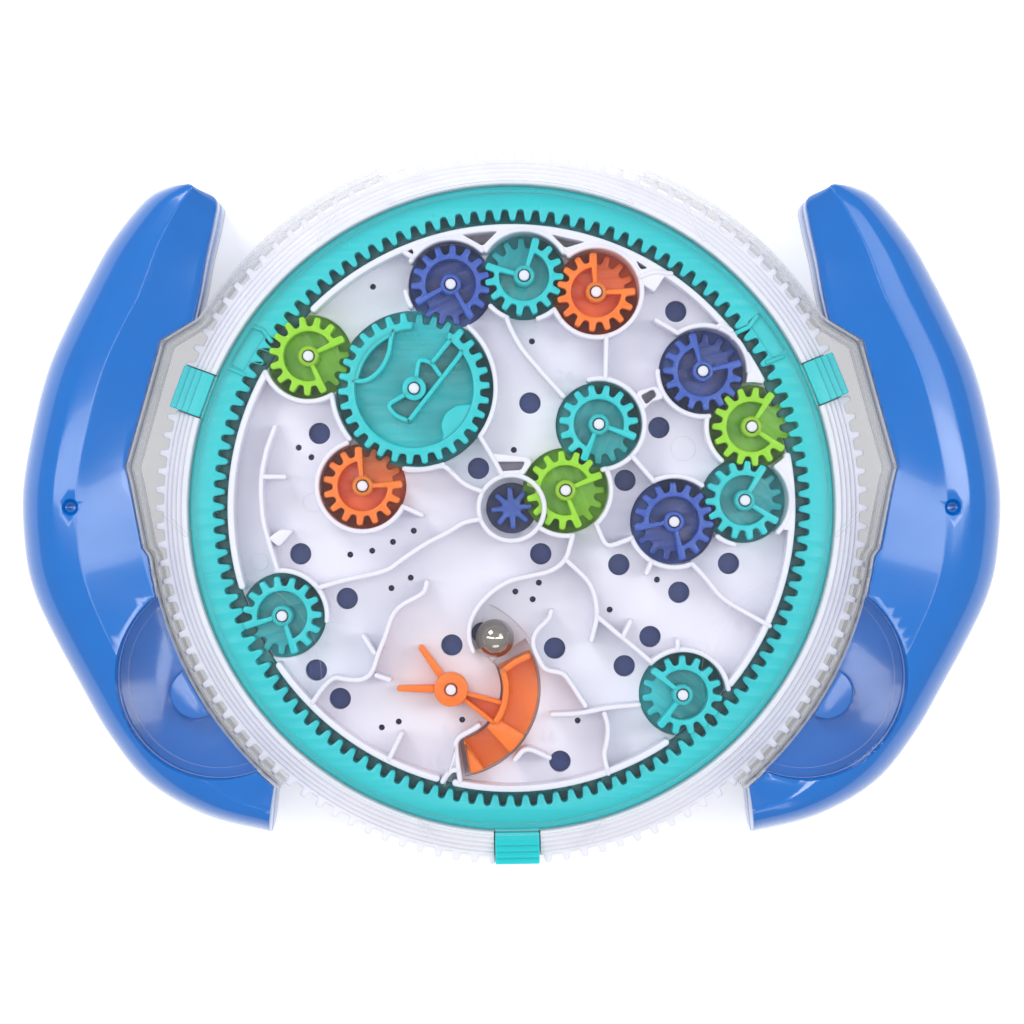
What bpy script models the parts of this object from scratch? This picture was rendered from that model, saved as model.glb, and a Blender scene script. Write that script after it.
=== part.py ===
"""Gear maze puzzle: a handheld ball maze under a clear cover, worked by turning its rim.

The disc lies on its back, face up, with the photograph's up along +Y.
The origin is on the disc's axis, at the height of the surface that the handles rest on.
Every length below is a real one, in metres, and every angle is in degrees.
"""
import math

import bmesh
import bpy
from mathutils import Vector, geometry

MM = 0.001

# Gearing. The photograph's gears all fit one module and these counts of teeth.
MODULE = 1.25 * MM
SMALL_TEETH = 15
BIG_TEETH = 30
STAR_TEETH = 8
RING_TEETH = 120
PITCH_RADIUS = MODULE * RING_TEETH / 2
ADDENDUM = 0.66
DEDENDUM = 1.3
TOOTH_SHARE = 0.42
FLANK_ANGLE = 18.0
CENTRE_SPREAD = 0.3 * MM
RING_PHASE = 1.3
STAR_PHASE = 5.5
STAR_TIP = 5.45 * MM
STAR_ROOT = 2.9 * MM
STAR_TIP_WIDTH = 0.8 * MM
STAR_ROOT_WIDTH = 1.9 * MM

# How far a piece reaches into one it joins, and past one it cuts.
OVERLAP = 0.3 * MM
PAST = 1.0 * MM

# Gaps that moving or fitted pieces keep.
FIT_GAP = 0.3 * MM
POCKET_GAP = 0.9 * MM
WHEEL_GAP = 0.7 * MM

# Heights of the stack, from the table up.
REAR_COVER_LOW = 4.0 * MM
COVER_SKIN = 2.0 * MM
BEARING_RIB = 1.2 * MM
REAR_DISC_SKIN = 2.0 * MM
DECK_CLEARANCE = 1.0 * MM
DECK_SKIN = 3.5 * MM
POCKET_DEPTH = 2.2 * MM
WEB_SKIN = 1.9 * MM
GEAR_HEIGHT = 9.9 * MM
WALL_HEIGHT = 10.3 * MM
STAR_RISE = 6.5 * MM
PIN_RISE = 9.4 * MM

# Maze plate.
PLATE_SETBACK = 2.0 * MM
PLATE_RADIUS = PITCH_RADIUS - PLATE_SETBACK
RIM_WALL = 1.7 * MM
MAZE_WALL = 1.3 * MM
BIG_HOLE = 2.8 * MM
WELL_RADIUS = 6.6 * MM
WELL_SLOPE = 1.2 * MM
BIG_HOLES = tuple((x * MM, y * MM) for x, y in (
    (42.7, 51.1), (38.3, 20.9), (29.5, 7.2), (4.8, 27.3), (-8.6, 10.3), (7.6, -11.9), (27.9, -14.7),
    (56.4, -14.4), (43.5, -21.9), (36.0, -33.4), (29.3, -41.0), (11.2, -36.4), (12.6, -65.8),
    (-15.5, -35.6), (-7.6, -32.5), (-49.9, 19.4), (-54.8, -11.9), (-42.7, -23.5), (-50.7, -42.1),
    (-44.5, -49.5)))

# Gears, their posts and the ball.
PIN_RADIUS = 1.35 * MM
BORE_RADIUS = 1.65 * MM
HUB_RADIUS = 2.7 * MM
RECESS_RADIUS = 6.5 * MM
RIB_WIDTH = 1.1 * MM
OPEN_PITCHES = 4
BALL_RADIUS = 5.0 * MM

# Ring gear, drive wheel and the disc behind them.
RING_BAND = 8.0 * MM
RING_RADIUS = PITCH_RADIUS + RING_BAND
RING_HEIGHT = 10.5 * MM
RING_LIP = 1.5 * MM
RING_LIP_RISE = 0.7 * MM
WHEEL_INNER = RING_RADIUS + FIT_GAP
WHEEL_WIDTH = 8.7 * MM
WHEEL_TIP_RADIUS = WHEEL_INNER + WHEEL_WIDTH
WHEEL_TOOTH = 2.0 * MM
WHEEL_TEETH = 120
WHEEL_HEIGHT = 16.0 * MM
WHEEL_TOOTH_HEIGHT = 12.0 * MM
WHEEL_RIDGES = 2
WHEEL_EDGE = 0.5 * MM
RING_POCKETS = ((29.6, 38.5), (144.6, 153.2))
RING_POCKET_EDGE = 0.8 * MM
RING_POCKET_DEPTH = 2.5 * MM
TAB_WIDTH = 11.4 * MM
TAB_ANGLES = (22.4, 159.9, 271.0)
TAB_STEPS = 4
TAB_STEP_RISE = 0.8 * MM
TAB_STEP_RUN = 1.6 * MM
TAB_SHORT = 0.2 * MM
TAB_REACH = WHEEL_TIP_RADIUS - TAB_SHORT
TAB_SETBACK = 0.4 * MM
TAB_DROP = 3.3 * MM

# Covers.
COVER_OVERLAP = 0.7 * MM
COVER_RADIUS = WHEEL_INNER + COVER_OVERLAP
BEARING_WALL = 1.8 * MM
REAR_RIB_SETBACK = 7.0 * MM
REAR_RIB_INNER = RING_RADIUS - REAR_RIB_SETBACK
SKIRT_EDGE = 1.0 * MM
WING_RADIUS = WHEEL_TIP_RADIUS + WHEEL_GAP + SKIRT_EDGE
WING_INWARD = 14.0 * MM
SKIRT_WALL = 1.6 * MM
LOBE_RADIUS = 26.0 * MM
LOBE_CENTRE = (-74.7 * MM, -43.1 * MM)
LOBE_RIM = 2.8 * MM
LOBE_RIM_RISE = 0.8 * MM

# Handles.
HANDLE_HEIGHT = 34.0 * MM
HANDLE_SPLIT = 17.0 * MM
HANDLE_INNER_HEIGHT = 27.5 * MM
RIDGE_SHARE = 0.24
LOBE_PIT_FLOOR = 18.5 * MM
BOSS_RADIUS = 6.7 * MM
BOSS_CENTRE = (-81.1 * MM, -47.5 * MM)
DIMPLE_RADIUS = 2.0 * MM
DIMPLE_PLACE = (-112.4 * MM, 0.2 * MM)
DIMPLE_FLOOR = 31.0 * MM

# Screws that close the handles from behind.
SCREW_HEAD_RADIUS = 2.8 * MM
SCREW_HEAD_HEIGHT = 2.2 * MM
SCREW_SHANK_RADIUS = 1.3 * MM
SCREW_SINK = 0.8 * MM
SCREW_LENGTH = 24.0 * MM
SCREW_PLACES = ((-95.0 * MM, 58.0 * MM), (-111.0 * MM, -14.0 * MM), (-77.0 * MM, -74.0 * MM))

# Lever.
LEVER_PIVOT = (-15.6 * MM, -46.8 * MM)
LEVER_HUB = 4.4 * MM
LEVER_ARM_WIDTH = 1.8 * MM
LEVER_ARM_LENGTH = 13.2 * MM
LEVER_ARM_ANGLES = (125.6, 179.0)
BASKET_INNER = 13.4 * MM
BASKET_OUTER = 22.6 * MM
BASKET_START = -77.0
BASKET_END = 27.0
BASKET_SKIN = 1.5 * MM
BASKET_WALL = 1.6 * MM
LEVER_HEIGHT = 7.7 * MM
LEVER_BAR_DROP = 1.5 * MM
LEVER_RIB_DROP = 2.0 * MM
LEVER_BAR_SPAN = (-47.0, -32.0)
LEVER_RIB_ANGLES = (-38.0, -15.0)
LEVER_SWING_DOWN = 3.0
LEVER_SWING_UP = 3.0
LEVER_GAP = 0.6 * MM

# Ball at rest.
BALL_PLACE = (-4.28 * MM, -33.62 * MM)

# Heights that follow.
REAR_COVER_TOP = REAR_COVER_LOW + COVER_SKIN
REAR_DISC_LOW = REAR_COVER_TOP + BEARING_RIB + FIT_GAP
REAR_DISC_TOP = REAR_DISC_LOW + REAR_DISC_SKIN
DECK_LOW = REAR_DISC_TOP + DECK_CLEARANCE
DECK_TOP = DECK_LOW + DECK_SKIN
POCKET_FLOOR = DECK_TOP - POCKET_DEPTH
GEAR_LOW = POCKET_FLOOR + FIT_GAP
WEB_TOP = GEAR_LOW + WEB_SKIN
GEAR_TOP = GEAR_LOW + GEAR_HEIGHT
WALL_TOP = DECK_TOP + WALL_HEIGHT
PIN_TOP = DECK_TOP + PIN_RISE
FRONT_COVER_LOW = WALL_TOP + FIT_GAP
FRONT_COVER_TOP = FRONT_COVER_LOW + COVER_SKIN
RING_LOW = REAR_DISC_TOP + FIT_GAP
RING_TOP = RING_LOW + RING_HEIGHT
RING_LIP_TOP = RING_TOP + RING_LIP_RISE
TAB_LOW = RING_TOP - TAB_DROP
WHEEL_LOW = REAR_DISC_LOW + FIT_GAP
WHEEL_TOP = WHEEL_LOW + WHEEL_HEIGHT
WHEEL_ROOT = WHEEL_TIP_RADIUS - WHEEL_TOOTH
SKIRT_SPLIT = (REAR_COVER_LOW + FRONT_COVER_TOP) / 2
ABOVE_ALL = HANDLE_HEIGHT + 10 * MM
BELOW_ALL = -5 * MM

# Facets of round pieces.
PIN_SIDES = 6
HOLE_SIDES = 8
POCKET_SIDES = 15
TURNED_SIDES = 40
WELL_SIDES = 15
LOBE_SIDES = 24

# Which gear drives which, and the direction from one centre to the next.
GEAR_TREE = (
    ("ring", "lime_gear_left", 143.2),
    ("lime_gear_left", "big_gear", -17.0),
    ("big_gear", "navy_gear_top_left", 70.6),
    ("navy_gear_top_left", "teal_gear_top", 6.7),
    ("teal_gear_top", "orange_gear_top", -12.8),
    ("big_gear", "orange_gear_left", -117.8),
    ("ring", "lime_gear_right", 18.7),
    ("lime_gear_right", "navy_gear_right_top", 131.3),
    ("lime_gear_right", "teal_gear_right", -95.3),
    ("teal_gear_right", "navy_gear_right_low", -163.2),
    ("ring", "teal_gear_bottom_left", -154.8),
    ("ring", "teal_gear_bottom_right", -47.5),
    ("star", "lime_gear_centre", 18.1),
    ("lime_gear_centre", "teal_gear_centre", 63.3),
)

# Where each small gear's open pocket starts at rest, counter-clockwise from +X.
POCKET_STARTS = {
    "lime_gear_left": -72,
    "navy_gear_top_left": 205,
    "teal_gear_top": 67,
    "orange_gear_top": 5,
    "orange_gear_left": -2,
    "teal_gear_centre": -113,
    "lime_gear_centre": -70,
    "navy_gear_right_top": 10,
    "lime_gear_right": -35,
    "teal_gear_right": -35,
    "navy_gear_right_low": 191,
    "teal_gear_bottom_left": 194,
    "teal_gear_bottom_right": 130,
}

COLOURS = {
    "lime": "#A6D40A",
    "navy": "#2C4A94",
    "teal": "#2CC9CF",
    "orange": "#FF7A0A",
    "big": "#2CC9CF",
}


# Plain geometry.

def mm(*points):
    """Points given in millimetres, in metres."""
    return [(x * MM, y * MM) for x, y in points]


def polar(radius, degrees, centre=(0.0, 0.0)):
    """The point at a radius and an angle from a centre."""
    turn = math.radians(degrees)
    return (centre[0] + radius * math.cos(turn), centre[1] + radius * math.sin(turn))


def arc(radius, start, end, step=8.0, centre=(0.0, 0.0)):
    """Points along an arc, both ends included."""
    count = max(1, math.ceil(abs(end - start) / step))
    return [polar(radius, start + (end - start) * i / count, centre) for i in range(count + 1)]


def circle(radius, sides, centre=(0.0, 0.0)):
    """Points of a regular polygon that stands for a circle."""
    return [polar(radius, 360.0 * i / sides, centre) for i in range(sides)]


def band(inner, outer, start, end, step=8.0, centre=(0.0, 0.0)):
    """Outline of a piece of a flat ring."""
    return arc(outer, start, end, step, centre) + arc(inner, end, start, step, centre)


def shifted(outline, distance):
    """A closed counter-clockwise outline grown outwards by a distance, with mitred corners."""
    count = len(outline)
    grown = []
    for i in range(count):
        before, here, after = outline[i - 1], outline[i], outline[(i + 1) % count]
        first = (here[0] - before[0], here[1] - before[1])
        second = (after[0] - here[0], after[1] - here[1])
        normals = [(v[1] / math.hypot(*v), -v[0] / math.hypot(*v)) for v in (first, second)]
        middle = (normals[0][0] + normals[1][0], normals[0][1] + normals[1][1])
        reach = 2 * distance / (middle[0] ** 2 + middle[1] ** 2)
        grown.append((here[0] + middle[0] * reach, here[1] + middle[1] * reach))
    return grown


def ribbon(points, width):
    """Outline of a wall of one width along a line of points."""
    sides = ([], [])
    for i, here in enumerate(points):
        before = points[max(i - 1, 0)]
        after = points[min(i + 1, len(points) - 1)]
        runs = [(b[0] - a[0], b[1] - a[1]) for a, b in ((before, here), (here, after)) if a != b]
        normals = [(-v[1] / math.hypot(*v), v[0] / math.hypot(*v)) for v in runs]
        middle = [sum(n[k] for n in normals) / len(normals) for k in (0, 1)]
        reach = width / 2 / (middle[0] ** 2 + middle[1] ** 2)
        sides[0].append((here[0] - middle[0] * reach, here[1] - middle[1] * reach))
        sides[1].append((here[0] + middle[0] * reach, here[1] + middle[1] * reach))
    return sides[0] + sides[1][::-1]


def mirrored(outline):
    """The same outline on the other side of the disc, still counter-clockwise."""
    return [(-x, y) for x, y in outline][::-1]


# Meshes and solids.

def as_object(name, bm):
    """Closes a bmesh into a new object, with its faces pointing out."""
    bmesh.ops.recalc_face_normals(bm, faces=bm.faces)
    mesh = bpy.data.meshes.new(name)
    bm.to_mesh(mesh)
    bm.free()
    piece = bpy.data.objects.new(name, mesh)
    bpy.context.scene.collection.objects.link(piece)
    return piece


def slab(outline, low, high, name="slab"):
    """A flat outline raised between two heights."""
    bm = bmesh.new()
    floor = bm.faces.new([bm.verts.new((x, y, low)) for x, y in outline])
    raised = bmesh.ops.extrude_face_region(bm, geom=[floor])
    top = [part for part in raised["geom"] if isinstance(part, bmesh.types.BMVert)]
    bmesh.ops.translate(bm, vec=(0, 0, high - low), verts=top)
    return as_object(name, bm)


def counter_clockwise(outline):
    """The outline in the direction that the triangulation needs."""
    turn = sum(before[0] * here[1] - here[0] * before[1]
               for before, here in zip(outline[-1:] + outline[:-1], outline))
    return outline if turn > 0 else outline[::-1]


def put(outline, low, high):
    """An area of a terraced solid that stands from low to high."""
    return (counter_clockwise(outline), (low, high), False)


def trim(outline, low, high):
    """An area that gives a new low and high to what already stands there."""
    return (counter_clockwise(outline), (low, high), True)


def clear(outline):
    """An area that is taken out."""
    return (counter_clockwise(outline), None, True)


def terraced(name, areas):
    """A solid drawn in plan, area by area; a later area goes over an earlier one."""
    corners, loops = [], []
    for outline, _, _ in areas:
        loops.append(list(range(len(corners), len(corners) + len(outline))))
        corners += [Vector((x / MM, y / MM)) for x, y in outline]
    points, _, cells, _, _, covers = geometry.delaunay_2d_cdt(corners, [], loops, 1, 0.002)
    spans = []
    for over in covers:
        span = None
        for i in sorted(over):
            if span or not areas[i][2]:
                span = areas[i][1]
        spans.append(span)
    beside, levels = {}, {}
    for cell, span in zip(cells, spans):
        if span:
            for i, corner in enumerate(cell):
                beside[cell[i - 1], corner] = span
                levels.setdefault(corner, set()).update(span)
    bm = bmesh.new()
    made = {}

    def vertex(point, level):
        if (point, level) not in made:
            made[point, level] = bm.verts.new((points[point].x * MM, points[point].y * MM, level))
        return made[point, level]

    for cell, span in zip(cells, spans):
        if span:
            bm.faces.new([vertex(point, span[1]) for point in cell])
            bm.faces.new([vertex(point, span[0]) for point in reversed(cell)])
    for (first, second), (low, high) in beside.items():
        across = beside.get((second, first), (high, high))
        for bottom, top in ((low, min(high, across[0])), (max(low, across[1]), high)):
            if top > bottom:
                rise = [vertex(second, level) for level in sorted(levels[second]) if bottom <= level <= top]
                fall = [vertex(first, level) for level in sorted(levels[first]) if bottom <= level <= top]
                bm.faces.new(rise + fall[::-1])
    solid = as_object(name, bm)
    flatten(solid.data)
    return solid


def flatten(mesh):
    """Joins the faces of one plane that a cut has left apart."""
    bm = bmesh.new()
    bm.from_mesh(mesh)
    bmesh.ops.remove_doubles(bm, verts=bm.verts, dist=0.001 * MM)
    bmesh.ops.dissolve_limit(bm, angle_limit=math.radians(0.2), verts=bm.verts, edges=bm.edges)
    bm.to_mesh(mesh)
    bm.free()


def combine(target, pieces, operation):
    """Cuts pieces out of a solid or joins them to it, and clears them away."""
    for piece in pieces:
        step = target.modifiers.new(piece.name, "BOOLEAN")
        step.operation = operation
        step.solver = "EXACT"
        step.object = piece
    depsgraph = bpy.context.evaluated_depsgraph_get()
    result = bpy.data.meshes.new_from_object(target.evaluated_get(depsgraph))
    target.modifiers.clear()
    spent = [target.data]
    target.data = result
    flatten(result)
    for piece in pieces:
        spent.append(piece.data)
        bpy.data.objects.remove(piece)
    for mesh in spent:
        bpy.data.meshes.remove(mesh)
    return target


def cut(target, *pieces):
    return combine(target, pieces, "DIFFERENCE")


def join(target, *pieces):
    return combine(target, pieces, "UNION")


def linear(channel):
    """One sRGB channel as linear light."""
    return channel / 12.92 if channel <= 0.04045 else ((channel + 0.055) / 1.055) ** 2.4


def plastic(name, colour, roughness=0.35, metallic=0.0, alpha=1.0):
    """A Principled material from an sRGB colour."""
    material = bpy.data.materials.new(name)
    material.use_nodes = True
    shader = material.node_tree.nodes["Principled BSDF"]
    channels = [linear(int(colour[i:i + 2], 16) / 255) for i in (1, 3, 5)]
    shader.inputs["Base Color"].default_value = (*channels, 1.0)
    shader.inputs["Roughness"].default_value = roughness
    shader.inputs["Metallic"].default_value = metallic
    shader.inputs["Alpha"].default_value = alpha
    return material


def finish(piece, name, material):
    """Names a finished solid, gives it its material and shades its round faces smooth."""
    piece.name = name
    piece.data.name = name
    piece.data.materials.clear()
    piece.data.materials.append(material)
    piece.data.shade_smooth()
    piece.data.set_sharp_from_angle(angle=math.radians(35))
    return piece


# Teeth.

def toothed(teeth, tip, root, tip_width, root_width, first=0.0):
    """Outline of a toothed circle with flat roots; first is the angle of one tooth."""
    outline = []
    for i in range(teeth):
        middle = first + 360.0 * i / teeth
        for radius, offset in ((root, -root_width / 2), (tip, -tip_width / 2),
                               (tip, tip_width / 2), (root, root_width / 2)):
            outline.append(polar(radius, middle + math.degrees(offset / radius)))
    return outline


def notched(teeth, tip, root, tip_width, first=0.0):
    """Outline of a toothed circle whose flanks meet in the root; first is the angle of one tooth."""
    outline = []
    for i in range(teeth):
        middle = first + 360.0 * i / teeth
        half_tip = math.degrees(tip_width / 2 / tip)
        outline += [polar(tip, middle - half_tip), polar(tip, middle + half_tip),
                    polar(root, middle + 180.0 / teeth)]
    return outline


def gear_sizes(teeth, inward=False):
    """Tip and root radius, and tooth width at each, of a gear of the common module."""
    way = -1 if inward else 1
    pitch = MODULE * teeth / 2
    lean = 2 * MODULE * math.tan(math.radians(FLANK_ANGLE))
    middle_width = TOOTH_SHARE * math.pi * MODULE
    return (pitch + way * ADDENDUM * MODULE, pitch - way * DEDENDUM * MODULE,
            middle_width - ADDENDUM * lean, middle_width + DEDENDUM * lean)


SMALL_TIP = gear_sizes(SMALL_TEETH)[0]
BIG_TIP = gear_sizes(BIG_TEETH)[0]


def teeth_of(name):
    """How many teeth a wheel of the train has."""
    return {"ring": RING_TEETH, "star": STAR_TEETH, "big_gear": BIG_TEETH}.get(name, SMALL_TEETH)


def gear_train():
    """Centre of each gear, and the angle of one of its teeth with the whole train in mesh."""
    centres = {"ring": (0.0, 0.0), "star": (0.0, 0.0)}
    phases = {"ring": RING_PHASE, "star": STAR_PHASE}
    for driver, gear, way in GEAR_TREE:
        ratio = teeth_of(driver) / teeth_of(gear)
        half_pitch = 180.0 / teeth_of(gear)
        if driver == "ring":
            reach = MODULE * (RING_TEETH - teeth_of(gear)) / 2 - CENTRE_SPREAD
            phases[gear] = way + (phases[driver] - way) * ratio + half_pitch
        else:
            reach = MODULE * (teeth_of(driver) + teeth_of(gear)) / 2 + CENTRE_SPREAD
            phases[gear] = way + 180 - (phases[driver] - way) * ratio - half_pitch
        centres[gear] = polar(reach, way, centres[driver])
    return centres, phases


CENTRES, PHASES = gear_train()


def pocket_radius(gear):
    """Radius of the round pocket that a gear turns in."""
    return (BIG_TIP if gear == "big_gear" else SMALL_TIP) + POCKET_GAP


def near(gear, degrees):
    """The point on the middle of a pocket's wall, seen from the gear's centre."""
    return polar(pocket_radius(gear) + MAZE_WALL / 2, degrees, CENTRES[gear])


# Gears.

def between_ribs(start, end, inner, outer):
    """Outline of the space between two radial ribs, from one radius to another."""
    def clear(radius):
        return math.degrees(math.asin(RIB_WIDTH / 2 / radius))
    return (arc(outer, start + clear(outer), end - clear(outer), 24)
            + arc(inner, end - clear(inner), start + clear(inner), 45))


def small_gear(name, material):
    """A gear with a whole toothed web, and above it teeth that leave a pocket for the ball."""
    pitch = 360.0 / SMALL_TEETH
    opening = OPEN_PITCHES * pitch
    tip, root, tip_width = gear_sizes(SMALL_TEETH)[:3]
    web = (GEAR_LOW, WEB_TOP)
    body = terraced(name, [
        put(notched(SMALL_TEETH, tip, root, tip_width), GEAR_LOW, GEAR_TOP),
        trim(between_ribs(0, opening, HUB_RADIUS, root), *web),
        trim(band(root - OVERLAP, tip + PAST, pitch / 2, opening - pitch / 2, pitch), *web),
        trim(between_ribs(opening, 360, HUB_RADIUS, RECESS_RADIUS), *web),
        clear(circle(BORE_RADIUS, PIN_SIDES)),
    ])
    turn = PHASES[name] + pitch * round((POCKET_STARTS[name] - PHASES[name]) / pitch)
    body.location = (*CENTRES[name], 0)
    body.rotation_euler = (0, 0, math.radians(turn))
    return finish(body, name, material)


# Ribs, pad and rim gap of the large gear, seen from its centre.
BIG_RIM_INNER = 15.3 * MM
BIG_RIB_WIDTH = 1.2 * MM
BIG_HUB_RADIUS = 3.1 * MM
BIG_PAD_DROP = 1.0 * MM
BIG_RIM_GAP = (57.0, 88.0)
BIG_INTO_RIM = BIG_RIM_INNER + OVERLAP
BIG_RIBS = (
    [*mm((-1.4, -8.4), (11.7, 8.4)), polar(BIG_INTO_RIM, 38)],
    mm((-2.0, -1.4), (-7.0, -4.3), (-4.9, -7.0), (-1.4, -8.4)),
    mm((0.4, 2.2), (1.2, 7.6), (4.4, 6.8), (6.6, 3.6)),
    [*mm((4.6, 6.6)), polar(BIG_INTO_RIM, 53)],
    mm((8.5, 10.9), (11.7, 8.4)),
    [polar(BIG_INTO_RIM, 175), *mm((-11.3, 4.1), (-7.6, 6.4), (-5.8, 10.0)), polar(BIG_INTO_RIM, 108)],
)
BIG_PAD = [*mm((15.2, -4.0), (11.0, -4.3), (8.0, -6.4), (6.8, -9.3), (7.6, -12.4)),
           polar(BIG_INTO_RIM, 296), polar(BIG_INTO_RIM, 312), polar(BIG_INTO_RIM, 328)]


def big_gear(name, material):
    """The large idler: a dished web with cells, a pad and a gap in its rim."""
    web = (GEAR_LOW, WEB_TOP)
    areas = [put(toothed(BIG_TEETH, *gear_sizes(BIG_TEETH), first=PHASES[name]), GEAR_LOW, GEAR_TOP),
             trim(circle(BIG_RIM_INNER, 24), *web)]
    areas += [trim(ribbon(rib, BIG_RIB_WIDTH), GEAR_LOW, GEAR_TOP) for rib in BIG_RIBS]
    areas += [trim(BIG_PAD, GEAR_LOW, GEAR_TOP - BIG_PAD_DROP),
              trim(band(BIG_RIM_INNER - OVERLAP, BIG_TIP + PAST, *BIG_RIM_GAP), *web),
              trim(circle(BIG_HUB_RADIUS, 16), GEAR_LOW, GEAR_TOP),
              clear(circle(BORE_RADIUS, PIN_SIDES))]
    body = terraced(name, areas)
    body.location = (*CENTRES[name], 0)
    return finish(body, name, material)


# The turning rim.

def across(start, end, width, degrees):
    """Outline of a strip that runs along a radius of the disc."""
    return ribbon([polar(start, degrees), polar(end, degrees)], width)


def ring_gear(material):
    """The ring with inward teeth, keyed to the wheel by three stepped tabs."""
    tip, root, tip_width = gear_sizes(RING_TEETH, inward=True)[:3]
    areas = []
    for degrees in TAB_ANGLES:
        areas.append(put(across(RING_RADIUS - PAST, TAB_REACH, TAB_WIDTH, degrees), TAB_LOW, RING_LIP_TOP))
        for step in range(TAB_STEPS):
            height = WHEEL_TOP - (TAB_STEPS - 1 - step) * TAB_STEP_RISE
            areas.append(trim(across(RING_RADIUS + TAB_SETBACK, TAB_REACH - step * TAB_STEP_RUN, TAB_WIDTH,
                                     degrees), TAB_LOW, height))
    lip_inner = RING_RADIUS - RING_LIP
    areas += [put(circle(RING_RADIUS, TURNED_SIDES), RING_LOW, RING_LIP_TOP),
              trim(circle(lip_inner, TURNED_SIDES), RING_LOW, RING_TOP)]
    for start, end in RING_POCKETS:
        areas.append(trim(band(root + RING_POCKET_EDGE, lip_inner, start, end, 4),
                          RING_LOW, RING_TOP - RING_POCKET_DEPTH))
    areas.append(clear(notched(RING_TEETH, tip, root, tip_width, RING_PHASE)))
    return finish(terraced("ring_gear", areas), "ring_gear", material)


def drive_wheel(material):
    """The toothed wheel that the fingers turn: stepped ridges, notched for the ring's tabs."""
    tooth_top = WHEEL_LOW + WHEEL_TOOTH_HEIGHT
    teeth = notched(WHEEL_TEETH, WHEEL_TIP_RADIUS, WHEEL_ROOT, WHEEL_TOOTH, 90.0)
    areas = [put(teeth, WHEEL_LOW, tooth_top)]
    for ridge in range(WHEEL_RIDGES):
        share = ridge / WHEEL_RIDGES
        radius = WHEEL_ROOT - WHEEL_EDGE - share * (WHEEL_ROOT - WHEEL_EDGE - WHEEL_INNER)
        height = tooth_top + (ridge + 1) / WHEEL_RIDGES * (WHEEL_TOP - tooth_top)
        areas.append(trim(circle(radius, TURNED_SIDES), WHEEL_LOW, height))
    for degrees in TAB_ANGLES:
        notch = across(WHEEL_INNER - PAST, WHEEL_TIP_RADIUS + PAST, TAB_WIDTH + 2 * FIT_GAP, degrees)
        areas.append(trim(notch, WHEEL_LOW, TAB_LOW - FIT_GAP))
    areas.append(clear(circle(WHEEL_INNER, TURNED_SIDES)))
    return finish(terraced("drive_wheel", areas), "drive_wheel", material)


def rear_disc(material):
    """The dark disc behind the maze, with the star pinion that drives the middle gears."""
    star = toothed(STAR_TEETH, STAR_TIP, STAR_ROOT, STAR_TIP_WIDTH, STAR_ROOT_WIDTH, first=STAR_PHASE)
    body = terraced("rear_disc", [
        put(circle(RING_RADIUS, TURNED_SIDES), REAR_DISC_LOW, REAR_DISC_TOP),
        trim(star, REAR_DISC_LOW, REAR_DISC_TOP + STAR_RISE),
    ])
    return finish(body, "rear_disc", material)


# The maze plate.

# Pocket walls at full height, as gear, start and end angle.
POCKET_WALLS = (
    ("lime_gear_left", 201, 304),
    ("big_gear", 183, 218),
    ("big_gear", 262, 291),
    ("big_gear", -36, 48),
    ("navy_gear_top_left", 47, 150),
    ("navy_gear_top_left", 190, 209),
    ("teal_gear_top", 31, 147),
    ("teal_gear_top", 220, 248),
    ("teal_gear_top", -72, -49),
    ("orange_gear_top", 18, 127),
    ("orange_gear_top", 216, 378),
    ("orange_gear_left", 110, 333),
    ("teal_gear_centre", -86, 103),
    ("lime_gear_centre", -48, 28),
    ("lime_gear_centre", 236, 279),
    ("navy_gear_right_top", 0, 124),
    ("navy_gear_right_top", 180, 278),
    ("lime_gear_right", 166, 228),
    ("teal_gear_right", -44, 56),
    ("teal_gear_right", 230, 256),
    ("navy_gear_right_low", 53, 118),
    ("navy_gear_right_low", 200, 293),
    ("teal_gear_bottom_left", -6, 97),
    ("teal_gear_bottom_right", 8, 135),
)

# Stretches where the space between the pockets and the rim is solid up to the wall tops.
RIM_FILLS = ((56.5, 111.0, 66.6 * MM), (26.0, 41.0, 68.5 * MM), (-4.6, 11.0, 68.5 * MM))

# The slot in the rim beside the lever, from one angle to another.
RIM_SLOT = (-105.2, -102.0)


def at_well(degrees):
    """The point on the middle of the star well's wall."""
    return polar(WELL_RADIUS + WELL_SLOPE + MAZE_WALL / 2, degrees)


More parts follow.
